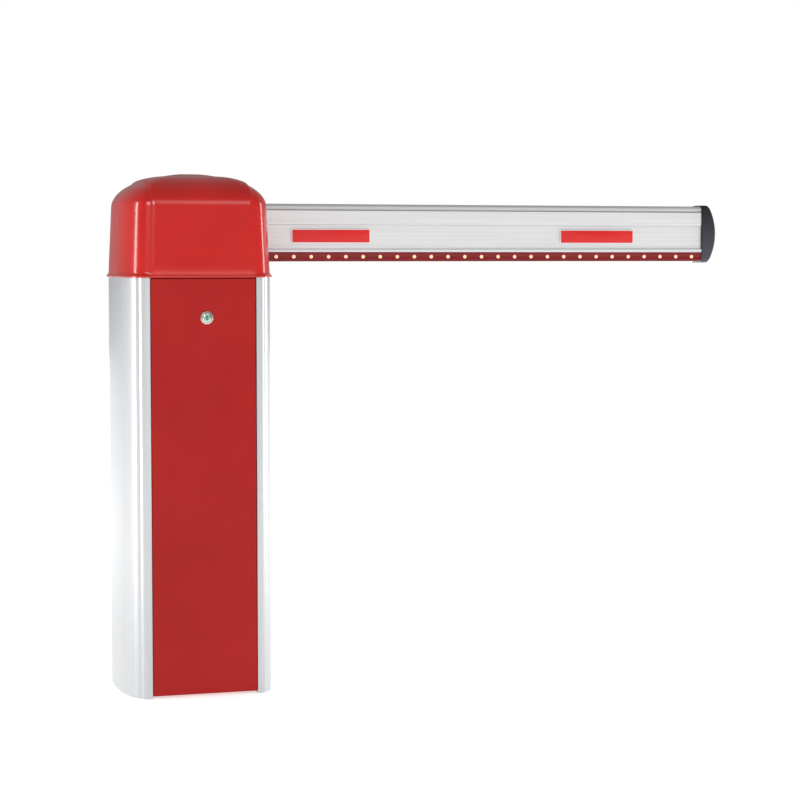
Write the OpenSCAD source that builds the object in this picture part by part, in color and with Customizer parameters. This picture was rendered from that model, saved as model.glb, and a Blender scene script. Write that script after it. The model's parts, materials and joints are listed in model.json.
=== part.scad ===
// Parking barrier gate: upright cabinet with a hood, and a boom that swings up
// on a shaft behind the hood. X runs along the closed boom, the door faces -Y,
// Z is up. The origin is the centre of the base plate's bottom face.

/* [Cabinet] */
// Clear width between the two columns
door_w = 216; // [190:1:270]
// How far each column bows out beside the door
bow = 49; // [45:1:70]
// Depth of the cabinet, front to back
cab_d = 300; // [290:1:360]
// Height of the columns
cab_h = 843; // [820:1:1050]
// Wall of the column extrusions
col_wall = 3; // [2:0.5:4]
// Sheet thickness of the door and back panel
sheet_t = 1.5; // [1:0.5:2]
// Depth of the folded edges of the door and back panel
fold_d = 20; // [16:1:22]
// Gap round the door
door_gap = 1; // [0.5:0.5:3]
// Height of the door's lower edge above the ground
door_foot = 5; // [4:1:8]
// Thickness of the base plate
base_t = 10; // [6:1:12]
// Anchor bolt spacing across the base plate
anchor_x = 150; // [130:1:160]
// Anchor bolt spacing along the depth
anchor_y = 190; // [150:1:200]
// Diameter of the anchor holes
anchor_d = 14; // [10:1:18]
// Diameter of the cable entry in the base plate
entry_d = 60; // [40:1:70]

/* [Hood] */
// Height of the hood above the columns
hood_h = 207; // [190:1:240]
// How far the hood's lip stands proud of the columns
hood_lip = 4; // [2:1:6]
// Wall of the hood
hood_wall = 4; // [3:0.5:5]

/* [Boom] */
// Length of the boom profile from the shaft to its outer end
boom_reach = 1225; // [900:5:6000]
// Length of the boom profile behind the shaft
boom_tail = 70; // [60:1:80]
// Height of the boom profile
boom_h = 125; // [100:1:140]
// Thickness of the boom profile
boom_t = 48; // [40:1:60]
// Wall of the boom profile
boom_wall = 2.5; // [2:0.5:4]
// Height of the LED strip
led_h = 21; // [16:1:24]
// Spacing of the LED lamps
led_pitch = 39; // [25:0.5:60]
// Diameter of each LED lamp
lamp_d = 8; // [5:0.5:12]
// Length of each reflector
reflector_l = 176; // [120:5:240]
// Distance between the outer ends of the two reflectors
reflector_gap = 620; // [300:5:3000]
// Height of each reflector
reflector_h = 30; // [20:1:40]
// Length of the end cap beyond the profile
cap_l = 35; // [24:1:45]

/* [Drive] */
// Diameter of the main shaft
shaft_d = 35; // [30:1:38]
// Height of the main shaft above the columns' top
shaft_rise = 93; // [88:1:100]
// Throw of the crank and of the drive lever
crank_r = 70; // [60:1:74]
// Length of the spring lever
spring_r = 60; // [54:1:64]
// Length of the connecting rod between its pins
rod_l = 296; // [270:1:330]
// Diameter of the crank and lever pins
pin_d = 14; // [10:1:16]
// Outer diameter of the balance spring
spring_d = 36; // [30:1:38]
// Wire of the balance spring
spring_wire = 5; // [4:0.5:6]
// Diameter of the motor
motor_d = 100; // [90:1:104]
// Length of the motor
motor_l = 200; // [160:5:220]

/* [Door lock] */
// Height of the lock below the top of the columns
lock_drop = 80; // [60:1:120]
// How far the lock sits to the right of the door's middle
lock_x = 6; // [-20:1:12]
// Diameter of the lock's front ring
lock_d = 26; // [22:1:30]

/* [Hidden] */
$fn = 64;

fit = 0.05;            // radial clearance of a running fit
gap = 0.3;             // clearance between parts that only pass
half = door_w / 2;
front = -cab_d / 2;
back = cab_d / 2;
bow_e = 2.3;           // squareness of the bowed plan, 2 is an ellipse
shaft_z = cab_h + shaft_rise;
deck_t = 8;
deck_z = cab_h - deck_t;
post_t = 3;
post_w = 30;
fold_y = back - fold_d;                // back face of the door's and panel's folds, measured from Y 0
post_y = fold_y - 2;                   // front edge of a post
jamb_d = cab_d / 2 - (post_y - post_w + post_t);
base_w = door_w;
base_d = 2 * (post_y - 8);
lock_z = cab_h - lock_drop;
door_top = cab_h - door_gap;
hinge_y = front + 9;
hinge_z = door_foot + 13;
hinge_d = 6;
hinge_x = half - 25;

hood_screw_x = 72;
hood_screw_z = cab_h + 24;
lock_barrel_d = 19;
plug_d = 13;
cam_t = 3;
cam_l = 45;
barrel_y = front + 26;                 // inner end of the lock's barrel

// Drive layout, front to back
plate_t = 10;
rear_plate_y = back - 30;              // front face of the mechanism plate
front_plate_y = -60;                   // front face of the front bearing plate
bearing_t = 20;
bearing_w = 84;
hub_r = 27;
arm_w = 28;
lever_t = 14;
drive_y = 6;
spring_y = -20;                        // middle plane of the spring lever
spring_lever_t = 12;
rod_t = 14;
rod_y = drive_y - 1 - rod_t;
hanger_t = 6;
hanger_w = 23;
hanger_l = 54;
rest_a = 45;                           // the levers stand 45 degrees either side of level
crank_dx = crank_r * cos(rest_a);
crank_dz = -crank_r * sin(rest_a);
spring_px = -spring_r * cos(rest_a);
spring_pz = shaft_z + spring_r * sin(rest_a);
reducer_z = shaft_z - rod_l;
reducer_w = 120;
reducer_h = 130;
reducer_wall = 8;
reducer_front = 45;
wheel_teeth = 30;
wheel_r = 29.5;
worm_r = 10;
eye_d = 32;
rod_d = 18;
top_play = 0.3;                        // the rod's upper eye is the loose one
fan_h = 40;
output_d = 25;
motor_x = -(wheel_r + worm_r + 0.5);
motor_y = rear_plate_y - 40;
motor_top = reducer_z - reducer_h / 2;  // the motor hangs from the reducer's underside
reducer_top = reducer_z + reducer_h / 2;
motor_z = motor_top - motor_l;
rotor_d = 14;
buffer_d = 24;
buffer_stud_d = 8;
buffer_at = 45;
// The lever tapers from its hub, so a buffer keeps clear of its sloping edge
lever_slope = atan((hub_r - arm_w / 2 - 1) / spring_r);
buffer_off = hub_r - 2 - buffer_at * tan(lever_slope) + (buffer_d / 2 + 0.5) / cos(lever_slope);
buffer_x = -(buffer_at - buffer_off) * cos(rest_a);
buffer_dz = (buffer_at + buffer_off) * sin(rest_a);

// Boom layout
bracket_y = back + hood_lip + 4;
bracket_t = 8;
boom_y = bracket_y + bracket_t;
boom_z = shaft_z - boom_h / 2;
clamp_t = 6;
bolt_d = 10;
bolt_x = [-45, 95];
bolt_z = [-30, 30];
led_depth = 3;
led_z = boom_z;
strip_x0 = 138;                        // the strip starts clear of the bracket
led_x0 = strip_x0 + 12;                // no lamp lies nearer the shaft than this
led_last = boom_reach - 23.5;
led_count = floor((led_last - led_x0) / led_pitch) + 1;
ledge_z = led_z + led_h;
ledge_h = 7;
ledge_t = 2;
reflector_z = shaft_z - 22;
reflector_end = boom_reach - 168;      // outer end of the far reflector
hub_y0 = rear_plate_y + plate_t + 5;
cap_over = 2.5;
cap_bulge = 18;
cap_r = (pow(boom_h / 2 + cap_over, 2) + pow(cap_bulge, 2)) / (2 * cap_bulge);
key_w = 10;
key_h = 8;
key_sink = 5;
keys = [[drive_y + lever_t / 2, 20], [spring_y, 20], [bracket_y - 6, 16]];  // middle and length

// Control layout
plate_y = -70;
comp_z0 = 130;
comp_z1 = 560;
box_z0 = 330;
box_z1 = 520;
box_y = plate_y - 42;
spring_top = spring_pz - 108;
spring_len = 450;
spring_z = spring_top - spring_len;

// A box from its lowest to its highest corner
module block(lo, hi) { translate(lo) cube(hi - lo); }
// A flat outline in X and Z, raised along Y from y0
module y_plate(y0, t) { translate([0, y0 + t, 0]) rotate([90, 0, 0]) linear_extrude(t) children(); }
// A round bar along Y
module y_round(x, z, d, y0, y1) { translate([x, y1, z]) rotate([90, 0, 0]) cylinder(d = d, h = y1 - y0); }
// A round bar along X
module x_round(y, z, d, x0, x1) { translate([x0, y, z]) rotate([0, 90, 0]) cylinder(d = d, h = x1 - x0); }
// A round bar along Z
module z_round(x, y, d, z0, z1) { translate([x, y, z0]) cylinder(d = d, h = z1 - z0); }
// A flat outline in Y and Z, drawn along X from x0
module x_bar(x0, l) { translate([x0, 0, 0]) rotate([90, 0, 90]) linear_extrude(l) children(); }
// A rectangle with true round corners, from its lower left corner
module rounded(w, h, r) {
    translate([r, 0]) square([w - 2 * r, h]);
    translate([0, r]) square([w, h - 2 * r]);
    for (x = [r, w - r], y = [r, h - r]) translate([x, y]) circle(r);
}

// Points of a column's bowed side: squared ellipse from the front to the back
function bowed(b, d, n = 28) = [for (i = [0:n]) let (a = -90 + 180 * i / n)
    [half + b * pow(abs(cos(a)), 2 / bow_e), d / 2 * sign(sin(a)) * pow(abs(sin(a)), 2 / bow_e)]];
// Closed plan of the whole cabinet, grown by g
function plan(g) = concat(bowed(bow + g, cab_d + 2 * g),
    [for (p = bowed(bow + g, cab_d + 2 * g)) [-p[0], -p[1]]]);

// Cabinet
module base_plate() {
    color("dimgray") difference() {
        block([-base_w / 2, -base_d / 2, 0], [base_w / 2, base_d / 2, base_t]);
        for (x = [-1, 1], y = [-1, 1])
            z_round(x * anchor_x / 2, y * anchor_y / 2, anchor_d, -1, base_t + 1);
        z_round(0, 0, entry_d, -1, base_t + 1);
    }
}

// Angle post in the rear right corner, mirrored to the other corners
module post(left, front_side) {
    x0 = half - post_t;
    y0 = post_y - post_w;
    color("gray") mirror([left, 0, 0]) mirror([0, front_side, 0]) {
        difference() {
            block([x0, y0, base_t], [half, post_y, deck_z]);
            // Foot notch that the door's lower corner turns through
            block([x0 - 1, post_y - 5, base_t - 1], [half + 1, post_y + 1, hinge_z + 16]);
        }
        block([half, y0, base_t], [half + post_w - 6, y0 + post_t, deck_z]);
    }
}
module post_front_left() { post(1, 1); }
module post_front_right() { post(0, 1); }
module post_rear_left() { post(1, 0); }
module post_rear_right() { post(0, 0); }

module deck_plate() {
    color("dimgray") difference() {
        block([-half, -post_y, deck_z], [half, rear_plate_y, cab_h]);
        block([spring_px - 52, spring_y - spring_d / 2 - 10, deck_z - 1],
            [crank_r + 26, drive_y + 26, cab_h + 1]);
    }
    // Strike that the lock's cam turns up behind
    color("dimgray") block([lock_x - 20, -post_y, lock_z + 30], [lock_x + 20, -post_y + 3, deck_z]);
}

// Right-hand column: bowed skin, open inwards, with a jamb flange at each end
module column() {
    color("gainsboro") linear_extrude(cab_h) {
        difference() {
            polygon(bowed(bow, cab_d));
            polygon(concat([[half - 1, front + col_wall]], bowed(bow - col_wall, cab_d - 2 * col_wall),
                [[half - 1, back - col_wall]]));
        }
        for (s = [-1, 1]) translate([half, s > 0 ? back - jamb_d : front]) square([col_wall, jamb_d]);
    }
}
module column_right() { column(); }
module column_left() { mirror([1, 0, 0]) column(); }

// Folded tray, open inwards, that fills the front or the back
module tray(z0, z1) {
    w = half - door_gap;
    difference() {
        block([-w, front, z0], [w, front + fold_d, z1]);
        block([-w + sheet_t, front + sheet_t, z0 + sheet_t], [w - sheet_t, front + fold_d + 1, z1 - sheet_t]);
    }
}
module back_panel() { color("firebrick") mirror([0, 1, 0]) tray(door_foot, door_top); }

// Hood body: slices of height above the columns and inset from the cabinet's plan
hood_slices = [[0.55 * hood_h, 4], [0.76 * hood_h, 8], [0.86 * hood_h, 14],
    [0.94 * hood_h, 27], [0.98 * hood_h, 44], [hood_h, 70]];
// The body shrunk by g on its sides and top, from z0 up
module hood_body(g, z0) {
    hull() {
        translate([0, 0, z0]) linear_extrude(0.01) polygon(plan(-g));
        for (s = hood_slices) translate([0, 0, cab_h + s[0] - g])
            linear_extrude(0.01) polygon(plan(-g - s[1]));
    }
}
module hood() {
    color("firebrick") difference() {
        union() {
            hood_body(0.01, cab_h);
            translate([0, 0, cab_h]) linear_extrude(10) polygon(plan(hood_lip));
        }
        hood_body(hood_wall, cab_h - 1);
        block([-hub_r - 7, rear_plate_y + plate_t + 2, cab_h - 1], [hub_r + 7, back + 20, shaft_z]);
        y_round(0, shaft_z, 2 * hub_r + 14, rear_plate_y + plate_t + 2, back + 20);
        for (x = [-1, 1]) y_round(x * hood_screw_x, hood_screw_z, 6.6, rear_plate_y + plate_t + 2, back + 20);
    }
}
module hood_screws() {
    color("silver") for (x = [-1, 1]) {
        // Spacer tube from the mechanism plate to the hood's rear wall, and the screw in it
        difference() {
            y_round(x * hood_screw_x, hood_screw_z, 16, rear_plate_y + plate_t, back - 6.5);
            y_round(x * hood_screw_x, hood_screw_z, 6.2, rear_plate_y + plate_t - 1, back);
        }
        y_round(x * hood_screw_x, hood_screw_z, 6, rear_plate_y + plate_t + 1, back + 0.8);
        y_round(x * hood_screw_x, hood_screw_z, 12, back + 0.8, back + 3.8);
    }
}

// Drive frame
module mechanism_plate() {
    color("slategray") difference() {
        union() {
            block([-half + post_t, rear_plate_y, motor_top], [half - post_t, rear_plate_y + plate_t, deck_z]);
            block([-half + 15, rear_plate_y, deck_z - 1], [half - 15, rear_plate_y + plate_t, shaft_z + 54]);
        }
        y_round(0, shaft_z, shaft_d + 10, rear_plate_y - 1, rear_plate_y + plate_t + 1);
    }
}
module front_bearing_plate() {
    color("slategray") difference() {
        union() {
            block([-72, front_plate_y, cab_h], [72, front_plate_y + plate_t, shaft_z + 68]);
            block([-72, front_plate_y - 24, cab_h], [72, front_plate_y, cab_h + 8]);
        }
        y_round(0, shaft_z, shaft_d + 10, front_plate_y - 1, front_plate_y + plate_t + 1);
        for (z = [-1, 1]) y_round(buffer_x, shaft_z + z * buffer_dz, buffer_stud_d,
            front_plate_y - 1, front_plate_y + plate_t + 1);
    }
}

// Flange bearing with four bolts, on the side of its plate that faces the door
module bearing(y1) {
    color("darkslategray") difference() {
        union() {
            y_plate(y1 - 8, 8) translate([-bearing_w / 2, shaft_z - bearing_w / 2])
                rounded(bearing_w, bearing_w, 12);
            y_round(0, shaft_z, 64, y1 - bearing_t, y1 - 8);
            for (x = [-1, 1], z = [-1, 1])
                y_round(x * bearing_w * 0.36, shaft_z + z * bearing_w * 0.36, 15, y1 - 15, y1 - 8);
        }
        y_round(0, shaft_z, shaft_d + 2 * fit, y1 - bearing_t - 1, y1 + 1);
    }
}
module bearing_rear() { bearing(rear_plate_y); }
module bearing_front() { bearing(front_plate_y); }

// Rubber buffers that the spring lever meets at each end of its swing
module buffers() {
    color("black") for (z = [-1, 1]) {
        bz = shaft_z + z * buffer_dz;
        y_round(buffer_x, bz, buffer_d, front_plate_y + plate_t, spring_y + spring_lever_t / 2);
        y_round(buffer_x, bz, buffer_stud_d - 2 * fit, front_plate_y - 6, front_plate_y + plate_t);
        y_round(buffer_x, bz, 14, front_plate_y - 8, front_plate_y);
    }
}

// Door
module door_sill() {
    color("gray") difference() {
        union() {
            block([-half + 10, -base_d / 2 - 3.5, 0.5], [half - 10, -base_d / 2, hinge_z + 10]);
            for (s = [-1, 1]) {
                block([s * hinge_x - 3, hinge_y, hinge_z - 5],
                    [s * hinge_x + 3, -base_d / 2 - 3.5, hinge_z + 5]);
                x_round(hinge_y, hinge_z, 12, s * hinge_x - 3, s * hinge_x + 3);
            }
        }
        for (s = [-1, 1]) x_round(hinge_y, hinge_z, hinge_d + 2 * fit, s * hinge_x - 4, s * hinge_x + 4);
    }
}
module hinge_pins() {
    color("silver") for (s = [-1, 1])
        x_round(hinge_y, hinge_z, hinge_d, s * (hinge_x + 3.5) - 8.5, s * (hinge_x + 3.5) + 8.5);
}
module door_lugs() {
    color("gray") for (s = [-1, 1]) difference() {
        x0 = s * (hinge_x + 7) - 3;
        block([x0, front + sheet_t, hinge_z - 9], [x0 + 6, hinge_y + 9, hinge_z + 16]);
        x_round(hinge_y, hinge_z, hinge_d + 2 * fit, x0 - 1, x0 + 7);
        // The lug is open below, so the door lifts off its pins
        block([x0 - 1, hinge_y - hinge_d / 2 - fit, hinge_z - 10],
            [x0 + 7, hinge_y + hinge_d / 2 + fit, hinge_z]);
    }
}
module door_seals() {
    color("black") for (s = [0, 1]) mirror([s, 0, 0])
        block([half - post_t, -post_y - 2 + gap, 40], [half, -post_y, deck_z]);
}
module door_panel() {
    color("firebrick") difference() {
        tray(door_foot, door_top);
        y_round(lock_x, lock_z, lock_barrel_d, front - 1, front + sheet_t + 1);
        // Windows in the lower fold for the sill's ears and the lugs
        for (s = [-1, 1]) block([s * (hinge_x + 3.5) - 9, front + sheet_t, 0],
            [s * (hinge_x + 3.5) + 9, 0, door_foot + 2]);
    }
}
module lock_barrel() {
    color("silver") difference() {
        union() {
            y_round(lock_x, lock_z, lock_d, front - 3, front);
            y_round(lock_x, lock_z, lock_barrel_d - 2 * fit, front, barrel_y);
        }
        y_round(lock_x, lock_z, plug_d + 2 * fit, front - 4, barrel_y + 1);
    }
}
module lock_nut() {
    color("silver") difference() {
        y_plate(front + sheet_t, 6) translate([lock_x, lock_z]) circle(d = 28, $fn = 6);
        y_round(lock_x, lock_z, lock_barrel_d, front, front + 10);
    }
}
module lock_plug() {
    color("lightgray") difference() {
        y_round(lock_x, lock_z, plug_d, front - 3.4, barrel_y + 2);
        block([lock_x - 1, front - 4, lock_z - 4], [lock_x + 1, front + 8, lock_z + 4]);
    }
}
module lock_cam() {
    color("silver") y_plate(barrel_y + 2, cam_t) translate([lock_x - 9, lock_z - 9])
        rounded(cam_l + 9, 18, 8);
}

// Shaft and levers
module key_blocks() {
    z0 = shaft_z + shaft_d / 2 - key_sink;
    for (k = keys) block([-key_w / 2, k[0] - k[1] / 2, z0], [key_w / 2, k[0] + k[1] / 2, z0 + key_h]);
}
module main_shaft() {
    color("silver") difference() {
        y_round(0, shaft_z, shaft_d, front_plate_y - bearing_t - 26, boom_y - 1);
        key_blocks();
    }
}
module shaft_keys() { color("gray") key_blocks(); }

// Flat lever with a hub on the shaft; a is the lever's direction in degrees
module lever(z, r, a, y0, t, hub_y, hub_t, bore, eye) {
    difference() {
        union() {
            y_plate(y0, t) translate([0, z]) rotate(a) {
                translate([r, 0]) circle(arm_w / 2);
                polygon([[0, -hub_r + 2], [r, -arm_w / 2 + 1], [r, arm_w / 2 - 1], [0, hub_r - 2]]);
            }
            y_round(0, z, 2 * hub_r, hub_y, hub_y + hub_t);
        }
        y_round(0, z, bore, hub_y - 1, hub_y + hub_t + 1);
        y_round(r * cos(a), z + r * sin(a), eye, y0 - 1, y0 + t + 1);
    }
}
module drive_lever() {
    color("slategray") difference() {
        lever(shaft_z, crank_r, -rest_a, drive_y, lever_t, drive_y - 4, lever_t + 8,
            shaft_d + 2 * fit, pin_d + 2 * fit);
        key_blocks();
    }
}
module spring_lever() {
    color("slategray") difference() {
        lever(shaft_z, spring_r, 180 - rest_a, spring_y - spring_lever_t / 2, spring_lever_t,
            spring_y - 12, 24, shaft_d + 2 * fit, pin_d + 2 * fit);
        key_blocks();
    }
}
module lever_pins() {
    color("silver") {
        y_round(crank_dx, shaft_z + crank_dz, pin_d, rod_y - 3, drive_y + lever_t + 2);
        y_round(spring_px, spring_pz, pin_d, spring_y - 18, spring_y + 18);
    }
}
module limit_cams() {
    color("khaki") for (i = [0, 1]) difference() {
        y0 = front_plate_y - bearing_t - 12 - i * 11;
        union() {
            y_round(0, shaft_z, 50, y0, y0 + 8);
            // Lobe that works the switch at one end of the swing
            y_plate(y0, 8) translate([0, shaft_z]) rotate(i * 90 - 90) translate([0, -10]) square([30, 20]);
        }
        y_round(0, shaft_z, shaft_d + 2 * fit, y0 - 1, y0 + 9);
    }
}

// Boom
module boom_bracket() {
    color("slategray") difference() {
        union() {
            y_plate(bracket_y, bracket_t) translate([-boom_tail, boom_z + 1])
                rounded(boom_tail + bolt_x[1] + 20, boom_h - 2, 10);
            y_round(0, shaft_z, 2 * hub_r, hub_y0, bracket_y);
        }
        y_round(0, shaft_z, shaft_d + 2 * fit, hub_y0 - 1, boom_y + 1);
        key_blocks();
        for (x = bolt_x, z = bolt_z) y_round(x, shaft_z + z, bolt_d + 2 * fit, bracket_y - 1, boom_y + 1);
    }
}
module boom_clamp() {
    color("slategray") difference() {
        y_plate(boom_y + boom_t, clamp_t) translate([bolt_x[0] - 22, shaft_z - 48])
            rounded(bolt_x[1] - bolt_x[0] + 44, 96, 12);
        for (x = bolt_x, z = bolt_z)
            y_round(x, shaft_z + z, bolt_d + 1, boom_y + boom_t - 1, boom_y + boom_t + clamp_t + 1);
    }
}
module clamp_bolts() {
    color("silver") for (x = bolt_x, z = bolt_z) {
        y_round(x, shaft_z + z, bolt_d, bracket_y + 0.5, boom_y + boom_t + clamp_t);
        y_plate(boom_y + boom_t + clamp_t, 6.5) translate([x, shaft_z + z]) circle(d = 1.8 * bolt_d, $fn = 6);
    }
}
module boom_section() {
    difference() {
        union() {
            translate([boom_y, boom_z]) rounded(boom_t, boom_h, 8);
            translate([boom_y, boom_z]) square([boom_t, led_h]);
            translate([boom_y - ledge_t, ledge_z]) square([boom_t / 2, ledge_h]);
        }
        translate([boom_y + boom_wall, boom_z + boom_wall]) {
            translate([led_depth + 1, 0]) square([boom_t - 2 * boom_wall - led_depth - 1, led_h]);
            translate([0, led_h + 1]) rounded(boom_t - 2 * boom_wall, boom_h - 2 * boom_wall - led_h - 1, 6);
            translate([led_depth + 1, led_h - 1]) square([boom_t - 2 * boom_wall - led_depth - 1, 12]);
        }
        translate([boom_y - 1, led_z + 1]) square([led_depth + 1, led_h - 1]);
    }
}
module boom_profile() {
    color("whitesmoke") difference() {
        x_bar(-boom_tail, boom_tail + boom_reach) boom_section();
        for (x = bolt_x, z = bolt_z) y_round(x, shaft_z + z, bolt_d + 1, boom_y - 1, boom_y + boom_t + 1);
        // The ledge is milled off where the bracket seats
        block([-boom_tail - 1, boom_y - ledge_t - 1, ledge_z - 1],
            [strip_x0, boom_y, ledge_z + ledge_h + 1]);
    }
}
module led_strip() {
    color("darkred") block([strip_x0, boom_y + 0.4, led_z + 1],
        [boom_reach, boom_y + led_depth, led_z + led_h]);
}
module led_lamps() {
    color("peachpuff") for (i = [0:led_count - 1])
        y_round(led_last - i * led_pitch, led_z + led_h / 2 + 0.5, lamp_d, boom_y - 1, boom_y + 0.4);
}
// Reflector stuck on the boom's front, from its outer end x1
module reflector(x1) {
    color("red") block([x1 - reflector_l, boom_y - 1, reflector_z],
        [x1, boom_y, reflector_z + reflector_h]);
}
module reflector_near() { reflector(reflector_end - reflector_gap); }
module reflector_far() { reflector(reflector_end); }
// End cap: a flanged plug whose outer face bulges as one arc
module end_cap() {
    color("darkslategray") {
        intersection() {
            x_bar(boom_reach, cap_l) translate([boom_y - cap_over, boom_z - cap_over])
                rounded(boom_t + 2 * cap_over, boom_h + 2 * cap_over, 9);
            y_round(boom_reach + cap_l - cap_r, shaft_z, 2 * cap_r, boom_y - 10, boom_y + boom_t + 10);
        }
        // Plug that sits inside the profile
        x_bar(boom_reach - 22, 23) translate([boom_y + boom_wall + led_depth + 2, boom_z + led_h + 8])
            square([boom_t - 2 * boom_wall - led_depth - 4, boom_h - boom_wall - led_h - 14]);
    }
}

// Reducer, crank and connecting rod
module reducer_housing() {
    color("steelblue") difference() {
        block([-reducer_w / 2, reducer_front, motor_top], [reducer_w / 2, rear_plate_y, reducer_top]);
        block([-reducer_w / 2 + reducer_wall, reducer_front - 1, motor_top + reducer_wall],
            [reducer_w / 2 - reducer_wall, rear_plate_y - reducer_wall, reducer_top - reducer_wall]);
        z_round(motor_x, motor_y, rotor_d + 1, motor_top - 1, motor_top + reducer_wall + 1);
    }
}
module reducer_cover() {
    color("lightsteelblue") difference() {
        union() {
            block([-reducer_w / 2, reducer_front - reducer_wall, motor_top],
                [reducer_w / 2, reducer_front, reducer_top]);
            y_round(0, reducer_z, 54, reducer_front - reducer_wall - 6, reducer_front);
            for (x = [-1, 1], z = [-1, 1])
                y_round(x * (reducer_w / 2 - 9), reducer_z + z * (reducer_h / 2 - 9), 11,
                    reducer_front - reducer_wall - 5, reducer_front - reducer_wall);
        }
        y_round(0, reducer_z, output_d + 2 * fit, reducer_front - 30, reducer_front + 1);
    }
}
module output_shaft() {
    color("silver") y_round(0, reducer_z, output_d, drive_y - 6, rear_plate_y - reducer_wall - gap);
}
module worm_wheel() {
    outer = [for (i = [0:wheel_teeth - 1], k = [0:3])
        let (a = 360 / wheel_teeth * (i + [0.02, 0.27, 0.4, 0.87][k]), r = k < 2 ? wheel_r : wheel_r - 4)
        [r * cos(a), r * sin(a)]];
    color("goldenrod") difference() {
        y_plate(motor_y - 9, 18) translate([0, reducer_z]) polygon(outer);
        y_round(0, reducer_z, output_d + 2 * fit, motor_y - 12, motor_y + 12);
    }
}
module crank_arm() {
    color("slategray") lever(reducer_z, crank_r, -rest_a, drive_y, lever_t, drive_y - 4, lever_t + 8,
        output_d + 2 * fit, pin_d + 2 * fit);
}
module crank_pin() {
    color("silver") y_round(crank_dx, reducer_z + crank_dz, pin_d, rod_y - 3, drive_y + lever_t + 2);
}
// Rod with an eye at each end
module connecting_rod() {
    z0 = reducer_z + crank_dz;
    z1 = shaft_z + crank_dz;
    mid = rod_y + rod_t / 2;
    color("lightgray") difference() {
        union() {
            y_round(crank_dx, z0, eye_d, rod_y, rod_y + rod_t);
            y_round(crank_dx, z1, eye_d, rod_y, rod_y + rod_t);
            z_round(crank_dx, mid, 12, z0 + eye_d / 2 - 2, z1 - eye_d / 2 + 2);
            z_round(crank_dx, mid, rod_d, z0 + 52, z1 - 52);
        }
        y_round(crank_dx, z0, pin_d + 2 * fit, rod_y - 1, rod_y + rod_t + 1);
        y_round(crank_dx, z1, pin_d + 2 * top_play, rod_y - 1, rod_y + rod_t + 1);
    }
}
module rod_nuts() {
    color("silver") for (z = [reducer_z + crank_dz + 44, shaft_z + crank_dz - 52]) difference() {
        translate([crank_dx, rod_y + rod_t / 2, z]) cylinder(d = 21, h = 8, $fn = 6);
        z_round(crank_dx, rod_y + rod_t / 2, 12 + 2 * fit, z - 1, z + 9);
    }
}

// Balance spring
module spring_hanger() {
    color("slategray") difference() {
        union() {
            for (s = [-1, 1]) y_plate(spring_y + s * 11 - hanger_t / 2, hanger_t)
                translate([spring_px, spring_pz]) {
                    circle(hanger_w / 2);
                    translate([-hanger_w / 2, -hanger_l]) square([hanger_w, hanger_l]);
                }
            block([spring_px - hanger_w / 2, spring_y - 14, spring_pz - hanger_l],
                [spring_px + hanger_w / 2, spring_y + 14, spring_pz - hanger_l + 11]);
            z_round(spring_px, spring_y, 12, spring_top + 2, spring_pz - 50);
            z_round(spring_px, spring_y, spring_d, spring_top + gap, spring_top + 8);
        }
        y_round(spring_px, spring_pz, pin_d + 2 * fit, spring_y - 20, spring_y + 20);
    }
}
module balance_spring() {
    color("dimgray") difference() {
        z_round(spring_px, spring_y, spring_d, spring_z, spring_top);
        z_round(spring_px, spring_y, spring_d - 2 * spring_wire, spring_z - 1, spring_top + 1);
    }
}
module tension_rod() {
    color("silver") {
        z_round(spring_px, spring_y, 12, base_t + 8, spring_z - 4);
        z_round(spring_px, spring_y, spring_d, spring_z - 8, spring_z - gap);
        for (z = [base_t + 18, base_t + 36]) translate([spring_px, spring_y, z])
            cylinder(d = 21, h = 8, $fn = 6);
    }
}
module spring_anchor() {
    w = 22;
    color("slategray") difference() {
        block([spring_px - w, spring_y - w, base_t], [spring_px + w, spring_y + w, base_t + 36]);
        block([spring_px - w - 1, spring_y - w + 8, base_t + 6],
            [spring_px + w + 1, spring_y + w - 8, base_t + 28]);
        z_round(spring_px, spring_y, 12 + 2 * fit, base_t + 20, base_t + 37);
    }
}

// Motor
module motor_body() {
    color("steelblue") difference() {
        union() {
            z_round(motor_x, motor_y, motor_d - 10, motor_z, motor_top);
            z_round(motor_x, motor_y, motor_d, motor_top - 12, motor_top);
            z_round(motor_x, motor_y, motor_d, motor_z, motor_z + fan_h);
            for (i = [0:23]) translate([motor_x, motor_y, motor_z + fan_h]) rotate(i * 15)
                translate([0, -1, 0]) cube([motor_d / 2 - 1, 2, motor_l - fan_h - 6]);
            block([motor_x + motor_d / 2 - 14, motor_y - 30, motor_top - 110],
                [motor_x + motor_d / 2 + 28, motor_y + 30, motor_top - 40]);
        }
        z_round(motor_x, motor_y, rotor_d + 1, motor_z - 1, motor_top + 1);
        z_round(motor_x, motor_y, motor_d - 6, motor_z + 3, motor_z + fan_h - 3);
    }
}
module motor_rotor() {
    color("silver") {
        z_round(motor_x, motor_y, rotor_d, motor_z - 26, reducer_top - reducer_wall - gap);
        // Worm, drawn as its outer cylinder, and the cooling fan
        z_round(motor_x, motor_y, 2 * worm_r, reducer_z - 25, reducer_z + 25);
        z_round(motor_x, motor_y, 30, motor_z + 8, motor_z + 30);
        for (i = [0:7]) translate([motor_x, motor_y, motor_z + 10]) rotate(i * 45)
            translate([12, -1, 0]) cube([motor_d / 2 - 20, 2, 18]);
    }
}
module hand_wheel() {
    color("black") difference() {
        union() {
            rotate_extrude_at(motor_z - 20) translate([32, 0]) circle(6);
            z_round(motor_x, motor_y, 26, motor_z - 27, motor_z - 13);
            for (i = [0:2]) translate([motor_x, motor_y, motor_z - 22]) rotate(i * 120)
                translate([0, -4, 0]) cube([32, 8, 4]);
        }
        z_round(motor_x, motor_y, rotor_d + 2 * fit, motor_z - 28, motor_z);
    }
}
module rotate_extrude_at(z) { translate([motor_x, motor_y, z]) rotate_extrude() children(); }

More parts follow.
